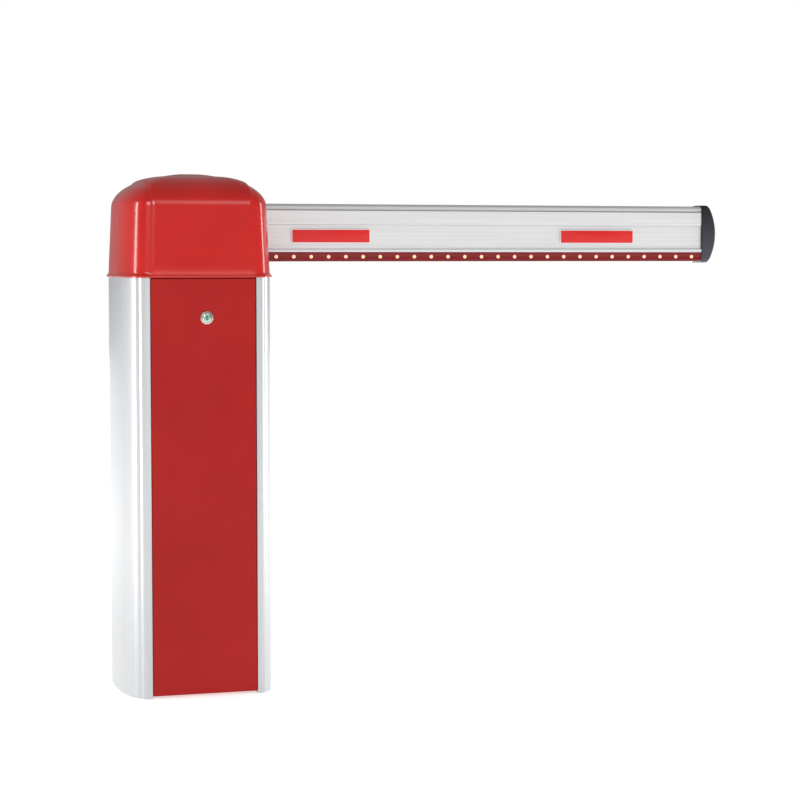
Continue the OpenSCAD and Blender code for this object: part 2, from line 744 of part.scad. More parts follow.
// Controls
module limit_switches() {
    y1 = front_plate_y - bearing_t - 2;
    color("darkslategray") {
        block([56, y1 - 24, cab_h], [60, front_plate_y - 24, shaft_z + 10]);
        for (i = [0, 1]) block([36, y1 - 10 - i * 11, shaft_z - 16], [56, y1 - 2 - i * 11, shaft_z + 8]);
    }
}
module component_plate() {
    edge = half - post_t;
    color("silver") {
        block([-edge, plate_y, comp_z0], [edge, plate_y + 3, comp_z1]);
        // Side flanges that screw to the front posts
        for (s = [0, 1]) mirror([s, 0, 0]) block([edge - 3, 8 - post_y, comp_z0], [edge, plate_y, comp_z1]);
    }
}
module controller_box() {
    color("lightgray") difference() {
        union() {
            block([-70, box_y, box_z0], [70, plate_y, box_z1]);
            for (x = [-45, -15, 15, 45]) z_round(x, plate_y - 20, 16, box_z0 - 16, box_z0);
        }
        block([-67, box_y - 1, box_z0 + 3], [67, plate_y - 3, box_z1 - 3]);
        for (x = [-45, -15, 15, 45]) z_round(x, plate_y - 20, 9, box_z0 - 17, box_z0 + 4);
    }
}
module controller_board() {
    color("seagreen") {
        block([-63, plate_y - 9, box_z0 + 8], [63, plate_y - 7, box_z1 - 8]);
        for (x = [-57, 57], z = [box_z0 + 14, box_z1 - 14]) y_round(x, z, 6, plate_y - 7, plate_y - 3);
        block([-58, plate_y - 21, box_z0 + 12], [58, plate_y - 9, box_z0 + 24]);
        block([-20, plate_y - 25, box_z1 - 60], [5, plate_y - 9, box_z1 - 30]);
        block([15, plate_y - 25, box_z1 - 60], [40, plate_y - 9, box_z1 - 30]);
        block([-50, plate_y - 13, box_z0 + 60], [-20, plate_y - 9, box_z0 + 85]);
    }
}
module power_parts() {
    color("peru") {
        // Transformer, starting capacitor and terminal row
        block([-80, plate_y - 46, 218], [-20, plate_y, 278]);
        block([-72, plate_y - 50, 226], [-28, plate_y, 270]);
        z_round(45, plate_y - 22, 40, 205, 290);
        block([23, plate_y - 44, 230], [67, plate_y, 242]);
        block([-85, plate_y - 28, 150], [85, plate_y, 176]);
    }
}

base_plate();
post_front_left();
post_front_right();
post_rear_left();
post_rear_right();
deck_plate();
column_left();
column_right();
back_panel();
hood();
hood_screws();
mechanism_plate();
front_bearing_plate();
bearing_rear();
bearing_front();
buffers();
door_sill();
hinge_pins();
door_seals();
door_panel();
door_lugs();
lock_barrel();
lock_nut();
lock_plug();
lock_cam();
main_shaft();
shaft_keys();
drive_lever();
spring_lever();
lever_pins();
limit_cams();
boom_bracket();
boom_clamp();
clamp_bolts();
boom_profile();
led_strip();
led_lamps();
reflector_near();
reflector_far();
end_cap();
reducer_housing();
reducer_cover();
output_shaft();
worm_wheel();
crank_arm();
crank_pin();
connecting_rod();
rod_nuts();
spring_hanger();
balance_spring();
tension_rod();
spring_anchor();
motor_body();
motor_rotor();
hand_wheel();
limit_switches();
component_plate();
controller_box();
controller_board();
power_parts();
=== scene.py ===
import json
from math import radians
import bmesh
import bpy
import numpy as np
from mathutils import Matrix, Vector
from mathutils.geometry import tessellate_polygon


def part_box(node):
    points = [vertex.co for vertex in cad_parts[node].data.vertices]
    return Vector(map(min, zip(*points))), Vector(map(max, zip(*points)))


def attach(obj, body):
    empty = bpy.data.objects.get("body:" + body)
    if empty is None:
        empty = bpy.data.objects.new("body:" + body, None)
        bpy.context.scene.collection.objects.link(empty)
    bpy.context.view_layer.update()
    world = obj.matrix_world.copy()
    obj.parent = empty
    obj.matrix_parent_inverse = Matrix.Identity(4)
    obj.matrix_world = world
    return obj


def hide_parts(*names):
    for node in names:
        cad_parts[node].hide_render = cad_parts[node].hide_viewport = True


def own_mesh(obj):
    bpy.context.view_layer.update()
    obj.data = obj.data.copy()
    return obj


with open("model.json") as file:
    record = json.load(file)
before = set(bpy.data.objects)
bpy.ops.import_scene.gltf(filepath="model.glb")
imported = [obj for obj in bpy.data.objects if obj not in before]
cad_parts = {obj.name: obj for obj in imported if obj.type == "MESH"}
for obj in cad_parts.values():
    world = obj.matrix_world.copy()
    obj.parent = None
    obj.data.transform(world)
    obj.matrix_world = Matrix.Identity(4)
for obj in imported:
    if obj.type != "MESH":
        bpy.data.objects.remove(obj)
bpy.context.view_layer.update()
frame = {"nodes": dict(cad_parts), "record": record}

scene = bpy.context.scene
joints = {j["name"]: j for j in frame["record"]["behaviour"]["joints"]}
bodyOfNode = {n: b for b, ns in frame["record"]["behaviour"]["bodies"].items() for n in ns}

cameraSettings = {
    "place": (-0.919, -4.501, 0.887),   # metres
    "yaw": 16.974,                      # degrees towards the boom
    "pitch": 3.723,                     # degrees downwards
    "lens": 99.95,                      # mm on a 36 mm sensor
}


def makeCamera(s):
    data = bpy.data.cameras.new("studioCamera")
    data.lens = s["lens"]
    data.sensor_width = 36.0
    data.clip_end = 100.0
    cam = bpy.data.objects.new("studioCamera", data)
    cam.location = s["place"]
    cam.rotation_euler = (radians(90 - s["pitch"]), 0.0, -radians(s["yaw"]))
    scene.collection.objects.link(cam)
    scene.camera = cam


makeCamera(cameraSettings)


def hexToLinear(text, alpha=1.0):
    # sRGB hex to linear: c / 12.92 below 0.04045, ((c + 0.055) / 1.055) ^ 2.4 above
    c = np.array([int(text[i:i + 2], 16) / 255 for i in (1, 3, 5)])
    lin = np.where(c <= 0.04045, c / 12.92, ((c + 0.055) / 1.055) ** 2.4)
    return (*[float(v) for v in lin], alpha)


def addNode(tree, kind, settings=None, inputs=None):
    # one node with its settings; an input is a number, a colour or an output socket to link
    node = tree.nodes.new(kind)
    for key, value in (settings or {}).items():
        setattr(node, key, value)
    for key, value in (inputs or {}).items():
        if isinstance(value, bpy.types.NodeSocket):
            tree.links.new(value, node.inputs[key])
        else:
            node.inputs[key].default_value = value
    return node


def newMaterial(name, colour, rough, metal=0.0, **shaderInputs):
    mat = bpy.data.materials.new(name)
    mat.use_nodes = True
    tree = mat.node_tree
    shader = tree.nodes["Principled BSDF"]
    shader.inputs["Base Color"].default_value = hexToLinear(colour)
    shader.inputs["Roughness"].default_value = rough
    shader.inputs["Metallic"].default_value = metal
    for key, value in shaderInputs.items():
        shader.inputs[key.replace("_", " ")].default_value = value
    coords = addNode(tree, "ShaderNodeTexCoord").outputs["Object"]
    return mat, tree, shader, coords


stageSettings = {
    "floor": "#f6f6f5",
    "floorSize": 30.0,        # metres
    "floorGlow": (0.6, 1.05),  # light it gives off near the object and far out
    "farFloor": 2.6,          # metres from the middle to the far value
    "backdrop": 1.0,          # brightness behind the object
    "ambient": 0.28,          # brightness that lights it
    "middle": (0.25, 0.0, 0.6),
    "lights": {               # place, width, height, watts
        "keyLight": ((-1.2, -4.2, 2.6), 1.6, 1.6, 53),
        "fillLight": ((1.6, -4.4, 3.0), 1.8, 1.8, 22),
        "leftStrip": ((-3.1, 0.7, 1.1), 0.5, 2.2, 38),
        "rightStrip": ((3.3, 0.1, 1.1), 0.5, 2.2, 34),
        "rearLight": ((0.5, 3.6, 2.4), 2.2, 2.2, 34),
    },
    "softOnly": ("rearLight",),   # lights that leave no mirror image in gloss paint
}


def makeStage(s):
    scene.view_settings.view_transform = "Standard"
    world = bpy.data.worlds.new("studio")
    scene.world = world
    world.use_nodes = True
    tree = world.node_tree
    straight = addNode(tree, "ShaderNodeLightPath").outputs["Is Camera Ray"]
    strength = addNode(tree, "ShaderNodeMapRange", {}, {
        "Value": straight, "To Min": s["ambient"], "To Max": s["backdrop"]}).outputs["Result"]
    tree.nodes["Background"].inputs["Color"].default_value = hexToLinear("#ffffff")
    tree.links.new(strength, tree.nodes["Background"].inputs["Strength"])
    h = s["floorSize"] / 2
    mesh = bpy.data.meshes.new("studioFloor")
    mesh.from_pydata([(-h, -h, 0), (h, -h, 0), (h, h, 0), (-h, h, 0)], [], [(0, 1, 2, 3)])
    floor = bpy.data.objects.new("studioFloor", mesh)
    scene.collection.objects.link(floor)
    mat, tree, shader, at = newMaterial("paleStudioFloor", s["floor"], 0.9)
    shader.inputs["Emission Color"].default_value = hexToLinear("#ffffff")
    away = addNode(tree, "ShaderNodeVectorMath", {"operation": "LENGTH"}, {"Vector": at}).outputs["Value"]
    glow = addNode(tree, "ShaderNodeMapRange", {}, {
        "Value": away, "From Min": 0.9, "From Max": s["farFloor"],
        "To Min": s["floorGlow"][0], "To Max": s["floorGlow"][1]}).outputs["Result"]
    tree.links.new(glow, shader.inputs["Emission Strength"])
    mesh.materials.append(mat)
    for name, (place, wide, tall, watts) in s["lights"].items():
        light = bpy.data.lights.new(name, "AREA")
        light.shape = "RECTANGLE"
        light.size, light.size_y = wide, tall
        light.energy = watts
        lamp = bpy.data.objects.new(name, light)
        lamp.location = place
        lamp.rotation_euler = (Vector(s["middle"]) - lamp.location).to_track_quat("-Z", "Y").to_euler()
        lamp.visible_glossy = name not in s["softOnly"]
        scene.collection.objects.link(lamp)


makeStage(stageSettings)
print("stage: camera, floor and lights ready")


def noiseField(tree, coords, sizeMm, stretch=(1, 1, 1), detail=3.0):
    # noise whose grains are about sizeMm across, pulled longer along an axis by stretch below 1
    mapped = addNode(tree, "ShaderNodeMapping", {}, {"Vector": coords, "Scale": stretch}).outputs["Vector"]
    return addNode(tree, "ShaderNodeTexNoise", {}, {
        "Vector": mapped, "Scale": 1000.0 / sizeMm, "Detail": detail, "Roughness": 0.55}).outputs["Fac"]


def mixColours(tree, shader, field, low, high, lowAt=0.35, highAt=0.65):
    # the field between lowAt and highAt runs from colour low to colour high
    ramp = addNode(tree, "ShaderNodeValToRGB", {}, {"Fac": field})
    for point, at, colour in ((0, lowAt, low), (1, highAt, high)):
        ramp.color_ramp.elements[point].position = at
        ramp.color_ramp.elements[point].color = hexToLinear(colour)
    tree.links.new(ramp.outputs["Color"], shader.inputs["Base Color"])
    return ramp


def roughBetween(tree, shader, field, low, high):
    spread = addNode(tree, "ShaderNodeMapRange", {}, {"Value": field, "To Min": low, "To Max": high})
    tree.links.new(spread.outputs["Result"], shader.inputs["Roughness"])


def bumpFrom(tree, shader, field, depthMm, strength=1.0, below=None):
    inputs = {"Height": field, "Distance": depthMm / 1000.0, "Strength": strength}
    if below is not None:
        inputs["Normal"] = below
    bump = addNode(tree, "ShaderNodeBump", {}, inputs)
    tree.links.new(bump.outputs["Normal"], shader.inputs["Normal"])
    return bump.outputs["Normal"]


def mouldedGlossAbs():
    # gloss red ABS, injection moulded: deep even colour under a clear gloss, with a very faint
    # long-wave waviness from the mould and a few dull handling patches
    mat, tree, shader, at = newMaterial("mouldedGlossAbs", "#c01a15", 0.2,
                                        IOR=1.46, Coat_Weight=0.3, Coat_Roughness=0.08)
    drift = noiseField(tree, at, 160)
    mixColours(tree, shader, drift, "#bb1713", "#c71f18")
    roughBetween(tree, shader, noiseField(tree, at, 45), 0.18, 0.26)
    wave = bumpFrom(tree, shader, noiseField(tree, at, 38, detail=1.0), 0.35, 0.35)
    bumpFrom(tree, shader, noiseField(tree, at, 1.6), 0.04, 0.3, below=wave)
    return mat


def powderCoatRed():
    # polyester powder coat on sheet steel: satin red with the fine orange peel that powder
    # leaves when it flows, about 2.5 mm from crest to crest
    mat, tree, shader, at = newMaterial("powderCoatRed", "#a81510", 0.42, IOR=1.32)
    mixColours(tree, shader, noiseField(tree, at, 220), "#a5130f", "#ae1812")
    roughBetween(tree, shader, noiseField(tree, at, 60), 0.36, 0.48)
    bumpFrom(tree, shader, noiseField(tree, at, 2.5, detail=2.0), 0.05, 0.5)
    return mat


def lacqueredColumnAluminium():
    # extruded aluminium, fine-brushed and clear lacquered: nearly white, with die lines that run
    # the length of the column
    mat, tree, shader, at = newMaterial("lacqueredColumnAluminium", "#c9cbce", 0.34, 0.6,
                                        Coat_Weight=0.2, Coat_Roughness=0.15)
    dieLines = noiseField(tree, at, 1.2, (1, 1, 0.004))
    mixColours(tree, shader, dieLines, "#c4c6c9", "#d0d2d4")
    roughBetween(tree, shader, dieLines, 0.28, 0.4)
    bumpFrom(tree, shader, dieLines, 0.02, 0.35)
    return mat


def lacqueredBoomAluminium():
    # the same finish on the boom, whose die lines run along X
    mat, tree, shader, at = newMaterial("lacqueredBoomAluminium", "#e6e6e7", 0.48, 0.2)
    dieLines = noiseField(tree, at, 1.6, (0.004, 1, 1))
    ramp = mixColours(tree, shader, dieLines, "#d6d7d8", "#e3e3e3")
    # the band along the top is painted greyer than the rest of the boom, and darker still at its foot as
    # painted shade in the groove there
    height = addNode(tree, "ShaderNodeSeparateXYZ", {}, {"Vector": at}).outputs["Z"]
    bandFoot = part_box("boom_profile")[1][2] - 0.0146
    inBand = addNode(tree, "ShaderNodeMapRange", {}, {
        "Value": height, "From Min": bandFoot, "From Max": bandFoot + 0.0003}).outputs["Result"]
    mixed = addNode(tree, "ShaderNodeMix", {"data_type": "RGBA"}, {})
    tree.links.new(inBand, mixed.inputs["Factor"])
    tree.links.new(ramp.outputs["Color"], mixed.inputs[6])
    footShadeFade = addNode(tree, "ShaderNodeMapRange", {}, {
        "Value": height, "From Min": bandFoot, "From Max": bandFoot + 0.01}).outputs["Result"]
    band = addNode(tree, "ShaderNodeValToRGB", {}, {"Fac": footShadeFade})
    # 9a9b9c at the foot is painted shade in the groove, #bfc0c0 above it is the band's grey
    for element, place, colour in zip(band.color_ramp.elements, (0.22, 0.34), ("#9a9b9c", "#bfc0c0")):
        element.position = place
        element.color = hexToLinear(colour)
    tree.links.new(band.outputs["Color"], mixed.inputs[7])
    tree.links.new(mixed.outputs[2], shader.inputs["Base Color"])
    roughBetween(tree, shader, dieLines, 0.42, 0.54)
    bumpFrom(tree, shader, dieLines, 0.02, 0.3)
    return mat


def zincPlatedSteel():
    # bright zinc plating on pressed steel: grey with a faint straw and blue bloom
    mat, tree, shader, at = newMaterial("zincPlatedSteel", "#b9bab6", 0.34, 0.9)
    mixColours(tree, shader, noiseField(tree, at, 35), "#a9acae", "#c6c3b4")
    roughBetween(tree, shader, noiseField(tree, at, 8), 0.26, 0.44)
    bumpFrom(tree, shader, noiseField(tree, at, 1.2), 0.02, 0.4)
    return mat


def turnedSteel():
    # turned and ground bar: fine lines round the shaft, a thin film of oil
    mat, tree, shader, at = newMaterial("turnedSteel", "#b4b5b8", 0.24, 1.0)
    lathe = noiseField(tree, at, 0.9, (1, 0.08, 1))
    mixColours(tree, shader, lathe, "#a5a7aa", "#c2c3c5")
    roughBetween(tree, shader, noiseField(tree, at, 14), 0.18, 0.34)
    bumpFrom(tree, shader, lathe, 0.015, 0.35)
    return mat


def satinBlackSteel():
    # cut steel plate in satin black paint, brushed on thinly enough to show its edges
    mat, tree, shader, at = newMaterial("satinBlackSteel", "#34373b", 0.42, 0.0, Coat_Weight=0.1)
    mixColours(tree, shader, noiseField(tree, at, 50), "#303337", "#3d4044")
    roughBetween(tree, shader, noiseField(tree, at, 18), 0.36, 0.52)
    bumpFrom(tree, shader, noiseField(tree, at, 3), 0.06, 0.4)
    return mat


def paintedCasting():
    # grey cast iron with its sand grain showing through the paint
    mat, tree, shader, at = newMaterial("paintedCasting", "#4a5157", 0.55)
    mixColours(tree, shader, noiseField(tree, at, 22), "#434a50", "#555c62")
    roughBetween(tree, shader, noiseField(tree, at, 9), 0.46, 0.66)
    bumpFrom(tree, shader, noiseField(tree, at, 1.8), 0.22, 0.7)
    return mat


def hammeredBluePaint():
    # hammer-finish enamel on the motor and reducer: small dimples in a blue-grey gloss
    mat, tree, shader, at = newMaterial("hammeredBluePaint", "#3f5a78", 0.3, 0.25, Coat_Weight=0.4)
    cells = addNode(tree, "ShaderNodeTexVoronoi", {"feature": "SMOOTH_F1"}, {
        "Vector": at, "Scale": 1000.0 / 3.2, "Smoothness": 0.6}).outputs["Distance"]
    mixColours(tree, shader, cells, "#37506c", "#4d6a8a", 0.1, 0.8)
    roughBetween(tree, shader, cells, 0.22, 0.4)
    bumpFrom(tree, shader, cells, 0.12, 0.5)
    return mat


def cutBronze():
    # bronze wheel rim, freshly hobbed
    mat, tree, shader, at = newMaterial("cutBronze", "#b98a4a", 0.3, 1.0)
    mixColours(tree, shader, noiseField(tree, at, 12), "#a97b3e", "#c79a5b")
    bumpFrom(tree, shader, noiseField(tree, at, 0.8, (1, 0.1, 1)), 0.02, 0.4)
    return mat


def blackSpringSteel():
    # oil-blackened spring wire with a dull gloss
    mat, tree, shader, at = newMaterial("blackSpringSteel", "#2b2c30", 0.38, 0.6)
    mixColours(tree, shader, noiseField(tree, at, 10), "#242528", "#36373b")
    bumpFrom(tree, shader, noiseField(tree, at, 1.0), 0.02, 0.4)
    return mat


def brightNickel():
    # nickel-plated zinc die casting: bright, slightly warm, with fine polishing marks
    mat, tree, shader, at = newMaterial("brightNickel", "#cfcdc4", 0.16, 1.0)
    mixColours(tree, shader, noiseField(tree, at, 6), "#c4c3bb", "#d8d6cc")
    roughBetween(tree, shader, noiseField(tree, at, 2.5), 0.1, 0.24)
    bumpFrom(tree, shader, noiseField(tree, at, 0.5), 0.006, 0.3)
    return mat


def mintLockShutter():
    # the lock's moulded dust shutter: pale mint nylon with a soft sheen
    mat, tree, shader, at = newMaterial("mintLockShutter", "#7fae9c", 0.32, IOR=1.52)
    mixColours(tree, shader, noiseField(tree, at, 4), "#78a896", "#8cb8a8")
    bumpFrom(tree, shader, noiseField(tree, at, 0.7), 0.02, 0.4)
    return mat


def mattRubber():
    # moulded black rubber, matt with a dusty bloom
    mat, tree, shader, at = newMaterial("mattRubber", "#26272a", 0.78)
    mixColours(tree, shader, noiseField(tree, at, 14), "#1f2022", "#313235")
    bumpFrom(tree, shader, noiseField(tree, at, 0.9), 0.05, 0.6)
    return mat


def charcoalCapPlastic():
    # moulded charcoal nylon: spark-eroded mould texture, soft sheen on the bulge
    mat, tree, shader, at = newMaterial("charcoalCapPlastic", "#2b2d32", 0.45, IOR=1.35)
    # the colour runs by height: painted light along the underside, painted shade towards the top, with a
    # little random grain
    low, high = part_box("end_cap")
    height = addNode(tree, "ShaderNodeSeparateXYZ", {}, {"Vector": at}).outputs["Z"]
    rise = addNode(tree, "ShaderNodeMapRange", {}, {
        "Value": height, "From Min": low[2], "From Max": high[2]}).outputs["Result"]
    grainAndPaintedUnderLight = addNode(tree, "ShaderNodeMath", {"operation": "MULTIPLY_ADD"}, {
        0: noiseField(tree, at, 26), 1: 0.12, 2: rise}).outputs["Value"]
    mixColours(tree, shader, grainAndPaintedUnderLight, "#4a4c54", "#1b1d20", 0.1, 0.95)    # lighter towards the bottom: painted light from the floor below, with painted shade towards the top
    roughBetween(tree, shader, noiseField(tree, at, 10), 0.4, 0.52)
    bumpFrom(tree, shader, noiseField(tree, at, 1.0), 0.05, 0.5)
    return mat


def mouldedBlackPlastic():
    # black nylon mouldings: switches, cams and the hand wheel
    mat, tree, shader, at = newMaterial("mouldedBlackPlastic", "#232427", 0.4, IOR=1.5)
    mixColours(tree, shader, noiseField(tree, at, 15), "#1f2023", "#2c2d31")
    bumpFrom(tree, shader, noiseField(tree, at, 0.8), 0.03, 0.5)
    return mat


def ledExtrusionRed():
    # translucent dark red PVC extrusion over the LED strip: glossy, with flow lines along X
    mat, tree, shader, at = newMaterial("ledExtrusionRed", "#80121a", 0.3, IOR=1.45)
    flow = noiseField(tree, at, 2.0, (0.01, 1, 1))
    mixColours(tree, shader, flow, "#780f17", "#8c161d")
    bumpFrom(tree, shader, flow, 0.03, 0.4)
    return mat


def diffusedLampCream():
    # diffused cream LED body that glows faintly salmon
    mat, tree, shader, at = newMaterial("diffusedLampCream", "#f3cfa8", 0.3, IOR=1.5,
                                        Emission_Strength=0.35)
    shader.inputs["Emission Color"].default_value = hexToLinear("#ffb98c")
    mixColours(tree, shader, noiseField(tree, at, 3), "#f0c79c", "#f8dcbc")
    return mat


def retroreflectiveRed():
    # microprismatic film: gloss red face over a honeycomb of sealed cells about 4 mm across; its faint red
    # emission is painted light, the film glowing though it gives off none
    mat, tree, shader, at = newMaterial("retroreflectiveRed", "#cf1210", 0.42, IOR=1.45,
                                        Emission_Strength=0.06)
    shader.inputs["Emission Color"].default_value = hexToLinear("#ff2a1c")
    flat = addNode(tree, "ShaderNodeMapping", {}, {"Vector": at, "Scale": (1, 0, 1.1547)}).outputs["Vector"]
    cells = addNode(tree, "ShaderNodeTexVoronoi", {"feature": "DISTANCE_TO_EDGE"}, {
        "Vector": flat, "Scale": 1000.0 / 4.0, "Randomness": 0.0}).outputs["Distance"]
    mixColours(tree, shader, cells, "#d8241c", "#c90f10", 0.02, 0.1)
    bumpFrom(tree, shader, cells, 0.03, 0.4)
    return mat


def whiteFilmEdge():
    # the film's white border, left bare round the red print
    mat, tree, shader, at = newMaterial("whiteFilmEdge", "#f2f0ee", 0.3, IOR=1.5, Coat_Weight=0.4)
    mixColours(tree, shader, noiseField(tree, at, 5), "#eceae8", "#f6f5f4")
    return mat


def greyEnclosurePlastic():
    # light grey moulded ABS of the controller box
    mat, tree, shader, at = newMaterial("greyEnclosurePlastic", "#c9cbc9", 0.45, IOR=1.52)
    mixColours(tree, shader, noiseField(tree, at, 40), "#c3c6c4", "#d0d1cf")
    bumpFrom(tree, shader, noiseField(tree, at, 1.0), 0.04, 0.5)
    return mat


def boardGreenLacquer():
    # green solder mask with pale tracks a few millimetres apart
    mat, tree, shader, at = newMaterial("boardGreenLacquer", "#1d6a42", 0.28, Coat_Weight=0.3)
    tracks = addNode(tree, "ShaderNodeTexBrick", {"offset": 0.3}, {
        "Vector": addNode(tree, "ShaderNodeMapping", {}, {
            "Vector": at, "Rotation": (radians(90), 0, 0)}).outputs["Vector"],
        "Scale": 60.0, "Mortar Size": 0.035}).outputs["Fac"]
    mixColours(tree, shader, tracks, "#1a5f3b", "#3f8f63", 0.2, 0.8)
    bumpFrom(tree, shader, tracks, 0.03, 0.5)
    return mat


def varnishedWinding():
    # transformer, capacitor and terminals: varnished brown and buff mouldings
    mat, tree, shader, at = newMaterial("varnishedWinding", "#8f7a5c", 0.42, Coat_Weight=0.2)
    mixColours(tree, shader, noiseField(tree, at, 30), "#806c50", "#a08a6a")
    bumpFrom(tree, shader, noiseField(tree, at, 1.5, (1, 1, 0.1)), 0.05, 0.5)
    return mat


materialOfSlot = {
    "red_hood": mouldedGlossAbs(), "red_powder_coat": powderCoatRed(),
    "column_aluminium": lacqueredColumnAluminium(), "boom_aluminium": lacqueredBoomAluminium(),
    "zinc_steel": zincPlatedSteel(), "turned_steel": turnedSteel(), "dark_painted_steel": satinBlackSteel(),
    "cast_iron_paint": paintedCasting(), "drive_blue": hammeredBluePaint(), "bronze": cutBronze(),
    "spring_steel": blackSpringSteel(), "nickel": brightNickel(), "black_rubber": mattRubber(),
    "cap_charcoal": charcoalCapPlastic(), "black_plastic": mouldedBlackPlastic(),
    "led_red": ledExtrusionRed(), "lamp_cream": diffusedLampCream(), "reflector_red": retroreflectiveRed(),
    "grey_plastic": greyEnclosurePlastic(), "board_green": boardGreenLacquer(),
    "parts_mixed": varnishedWinding(),
}
slotOfNode = {p["node"]: p["material_slot"] for p in frame["record"]["subparts"]}
print("materials ready:", len(materialOfSlot))


def smoothStep(t):
    # 3 t^2 - 2 t^3, held at 0 and 1 outside the step
    t = np.clip(t, 0.0, 1.0)
    return t * t * (3 - 2 * t)


def gridQuads(rows, cols, closeRows=False, closeCols=False):
    # corner numbers of a rows x cols grid: (i, j), (i+1, j), (i+1, j+1), (i, j+1)
    i = np.arange(rows if closeRows else rows - 1)[:, None]
    j = np.arange(cols if closeCols else cols - 1)[None, :]
    i2, j2 = (i + 1) % rows, (j + 1) % cols
    quads = [i * cols + j, i2 * cols + j, i2 * cols + j2, i * cols + j2]
    return np.stack([np.broadcast_to(q, (i.size, j.size)) for q in quads], -1).reshape(-1, 4)


def sharpenEdges(mesh, degrees=32.0):
    mesh.polygons.foreach_set("use_smooth", np.ones(len(mesh.polygons), bool))
    mesh.set_sharp_from_angle(angle=radians(degrees))


def middleOf(mesh):
    places = np.empty(len(mesh.vertices) * 3, np.float32)
    mesh.vertices.foreach_get("co", places)
    places = places.reshape(-1, 3)
    return Vector(((places.min(0) + places.max(0)) / 2).tolist())


def tidyFaces(mesh, merge=1e-6, flatten=False):
    # doubles merged, then either flat faces joined, or all faces turned outwards so that the
    # sum of area n . (c - middle) is above 0
    middle = middleOf(mesh)
    bm = bmesh.new()
    bm.from_mesh(mesh)
    bmesh.ops.remove_doubles(bm, verts=bm.verts, dist=merge)
    bmesh.ops.dissolve_degenerate(bm, dist=1e-7, edges=bm.edges)
    if flatten:
        bmesh.ops.dissolve_limit(bm, angle_limit=radians(0.4), verts=bm.verts, edges=bm.edges)
    else:
        bmesh.ops.recalc_face_normals(bm, faces=bm.faces)
        if sum(f.calc_area() * f.normal.dot(f.calc_center_median() - middle) for f in bm.faces) < 0:
            bmesh.ops.reverse_faces(bm, faces=bm.faces)
    bm.to_mesh(mesh)
    bm.free()


def makeMesh(name, points, faces):
    mesh = bpy.data.meshes.new(name)
    faces = faces.tolist() if isinstance(faces, np.ndarray) else faces
    mesh.from_pydata(np.asarray(points, float).reshape(-1, 3).tolist(), [], faces)
    tidyFaces(mesh)
    return mesh


def makePiece(name, mesh, slotName, body, replaced=(), material=None):
    sharpenEdges(mesh)
    piece = bpy.data.objects.new(name, mesh)
    scene.collection.objects.link(piece)
    mesh.materials.clear()
    mesh.materials.append(material or materialOfSlot[slotName])
    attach(piece, body)
    if replaced:
        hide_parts(*replaced)
    return piece


def addBevel(piece, widthMm, segments=2, degrees=35.0):
    bevel = piece.modifiers.new("edgeBevel", "BEVEL")
    bevel.width = widthMm / 1000.0
    bevel.segments = segments
    bevel.limit_method = "ANGLE"
    bevel.angle_limit = radians(degrees)
    bevel.harden_normals = True


def cutAway(piece, name, points, faces):
    # takes a closed solid out of a piece and keeps the result as the piece's own mesh
    cutter = bpy.data.objects.new(name, makeMesh(name, points, faces))
    scene.collection.objects.link(cutter)
    cut = piece.modifiers.new(name, "BOOLEAN")
    cut.object = cutter
    cut.operation = "DIFFERENCE"
    cut.solver = "EXACT"
    cut.use_self = True
    bpy.context.view_layer.update()
    made = bpy.data.meshes.new_from_object(piece.evaluated_get(bpy.context.evaluated_depsgraph_get()))
    piece.modifiers.clear()
    piece.data = made
    sharpenEdges(made, 38)
    bpy.data.objects.remove(cutter)


def closedGrid(points):
    # a tube of rings (ring, point, xyz) with both end rings filled
    rings, count = points.shape[:2]
    quads = gridQuads(rings, count, closeCols=True).tolist()
    first = np.arange(count)[::-1].tolist()
    last = ((rings - 1) * count + np.arange(count)).tolist()
    return points.reshape(-1, 3), quads + [first, last]


def turned(profile, centre, axis, segments=48):
    # revolve: centre + axis * h(s) + r(s) (cos t * side + sin t * up)
    profile = np.asarray(profile, float)
    t = np.linspace(0, 2 * np.pi, segments, endpoint=False)
    a = np.asarray(axis, float)
    side = np.array([1.0, 0, 0]) if abs(a[0]) < 0.5 else np.array([0, 1.0, 0])
    up = np.cross(a, side)
    ring = np.cos(t)[:, None] * side + np.sin(t)[:, None] * up
    return np.asarray(centre) + profile[:, 1, None, None] * a + profile[:, 0, None, None] * ring


def roundedOutline(corners, radii, arc=7):
    # each corner c becomes the arc of radius r tangent to both its edges:
    # q(k) = o + r (cos, sin) between the two tangent points, for all corners at once
    c = np.asarray(corners, float)
    r = np.asarray(radii, float)[:, None]
    into = np.roll(c, 1, 0) - c
    out = np.roll(c, -1, 0) - c
    into /= np.linalg.norm(into, axis=1, keepdims=True)
    out /= np.linalg.norm(out, axis=1, keepdims=True)
    halfBend = np.arccos(np.clip((into * out).sum(1, keepdims=True), -0.9999, 0.9999)) / 2
    reach = r / np.tan(halfBend)
    half = into + out
    half /= np.linalg.norm(half, axis=1, keepdims=True)
    centre = c + half * r / np.sin(halfBend)
    start, end = c + into * reach - centre, c + out * reach - centre
    k = np.linspace(0, 1, arc)[None, :, None]
    blend = start[:, None] * (1 - k) + end[:, None] * k
    length = np.linalg.norm(blend, axis=2, keepdims=True)
    blend = np.where(length > 1e-12, blend / np.maximum(length, 1e-12), 0) * r[:, None]
    return (centre[:, None] + blend).reshape(-1, 2)


def alongX(section, places):
    # an outline in Y and Z carried along X: point(i, j) = (places i, y j, z j)
    section = np.asarray(section, float)
    x = np.broadcast_to(np.asarray(places, float)[:, None], (len(places), len(section)))
    return np.stack([x, np.broadcast_to(section[:, 0], x.shape), np.broadcast_to(section[:, 1], x.shape)], 2)


columnLow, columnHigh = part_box("column_right")
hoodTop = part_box("hood")[1][2]
opening = columnLow[0]                   # half the clear width between the columns
bowOut = columnHigh[0] - columnLow[0]
depth = columnHigh[1] - columnLow[1]
backY = columnHigh[1]
cabinetTop = columnHigh[2]
planSquare = 2.3                         # exponent of the bowed plan, 2 is an ellipse


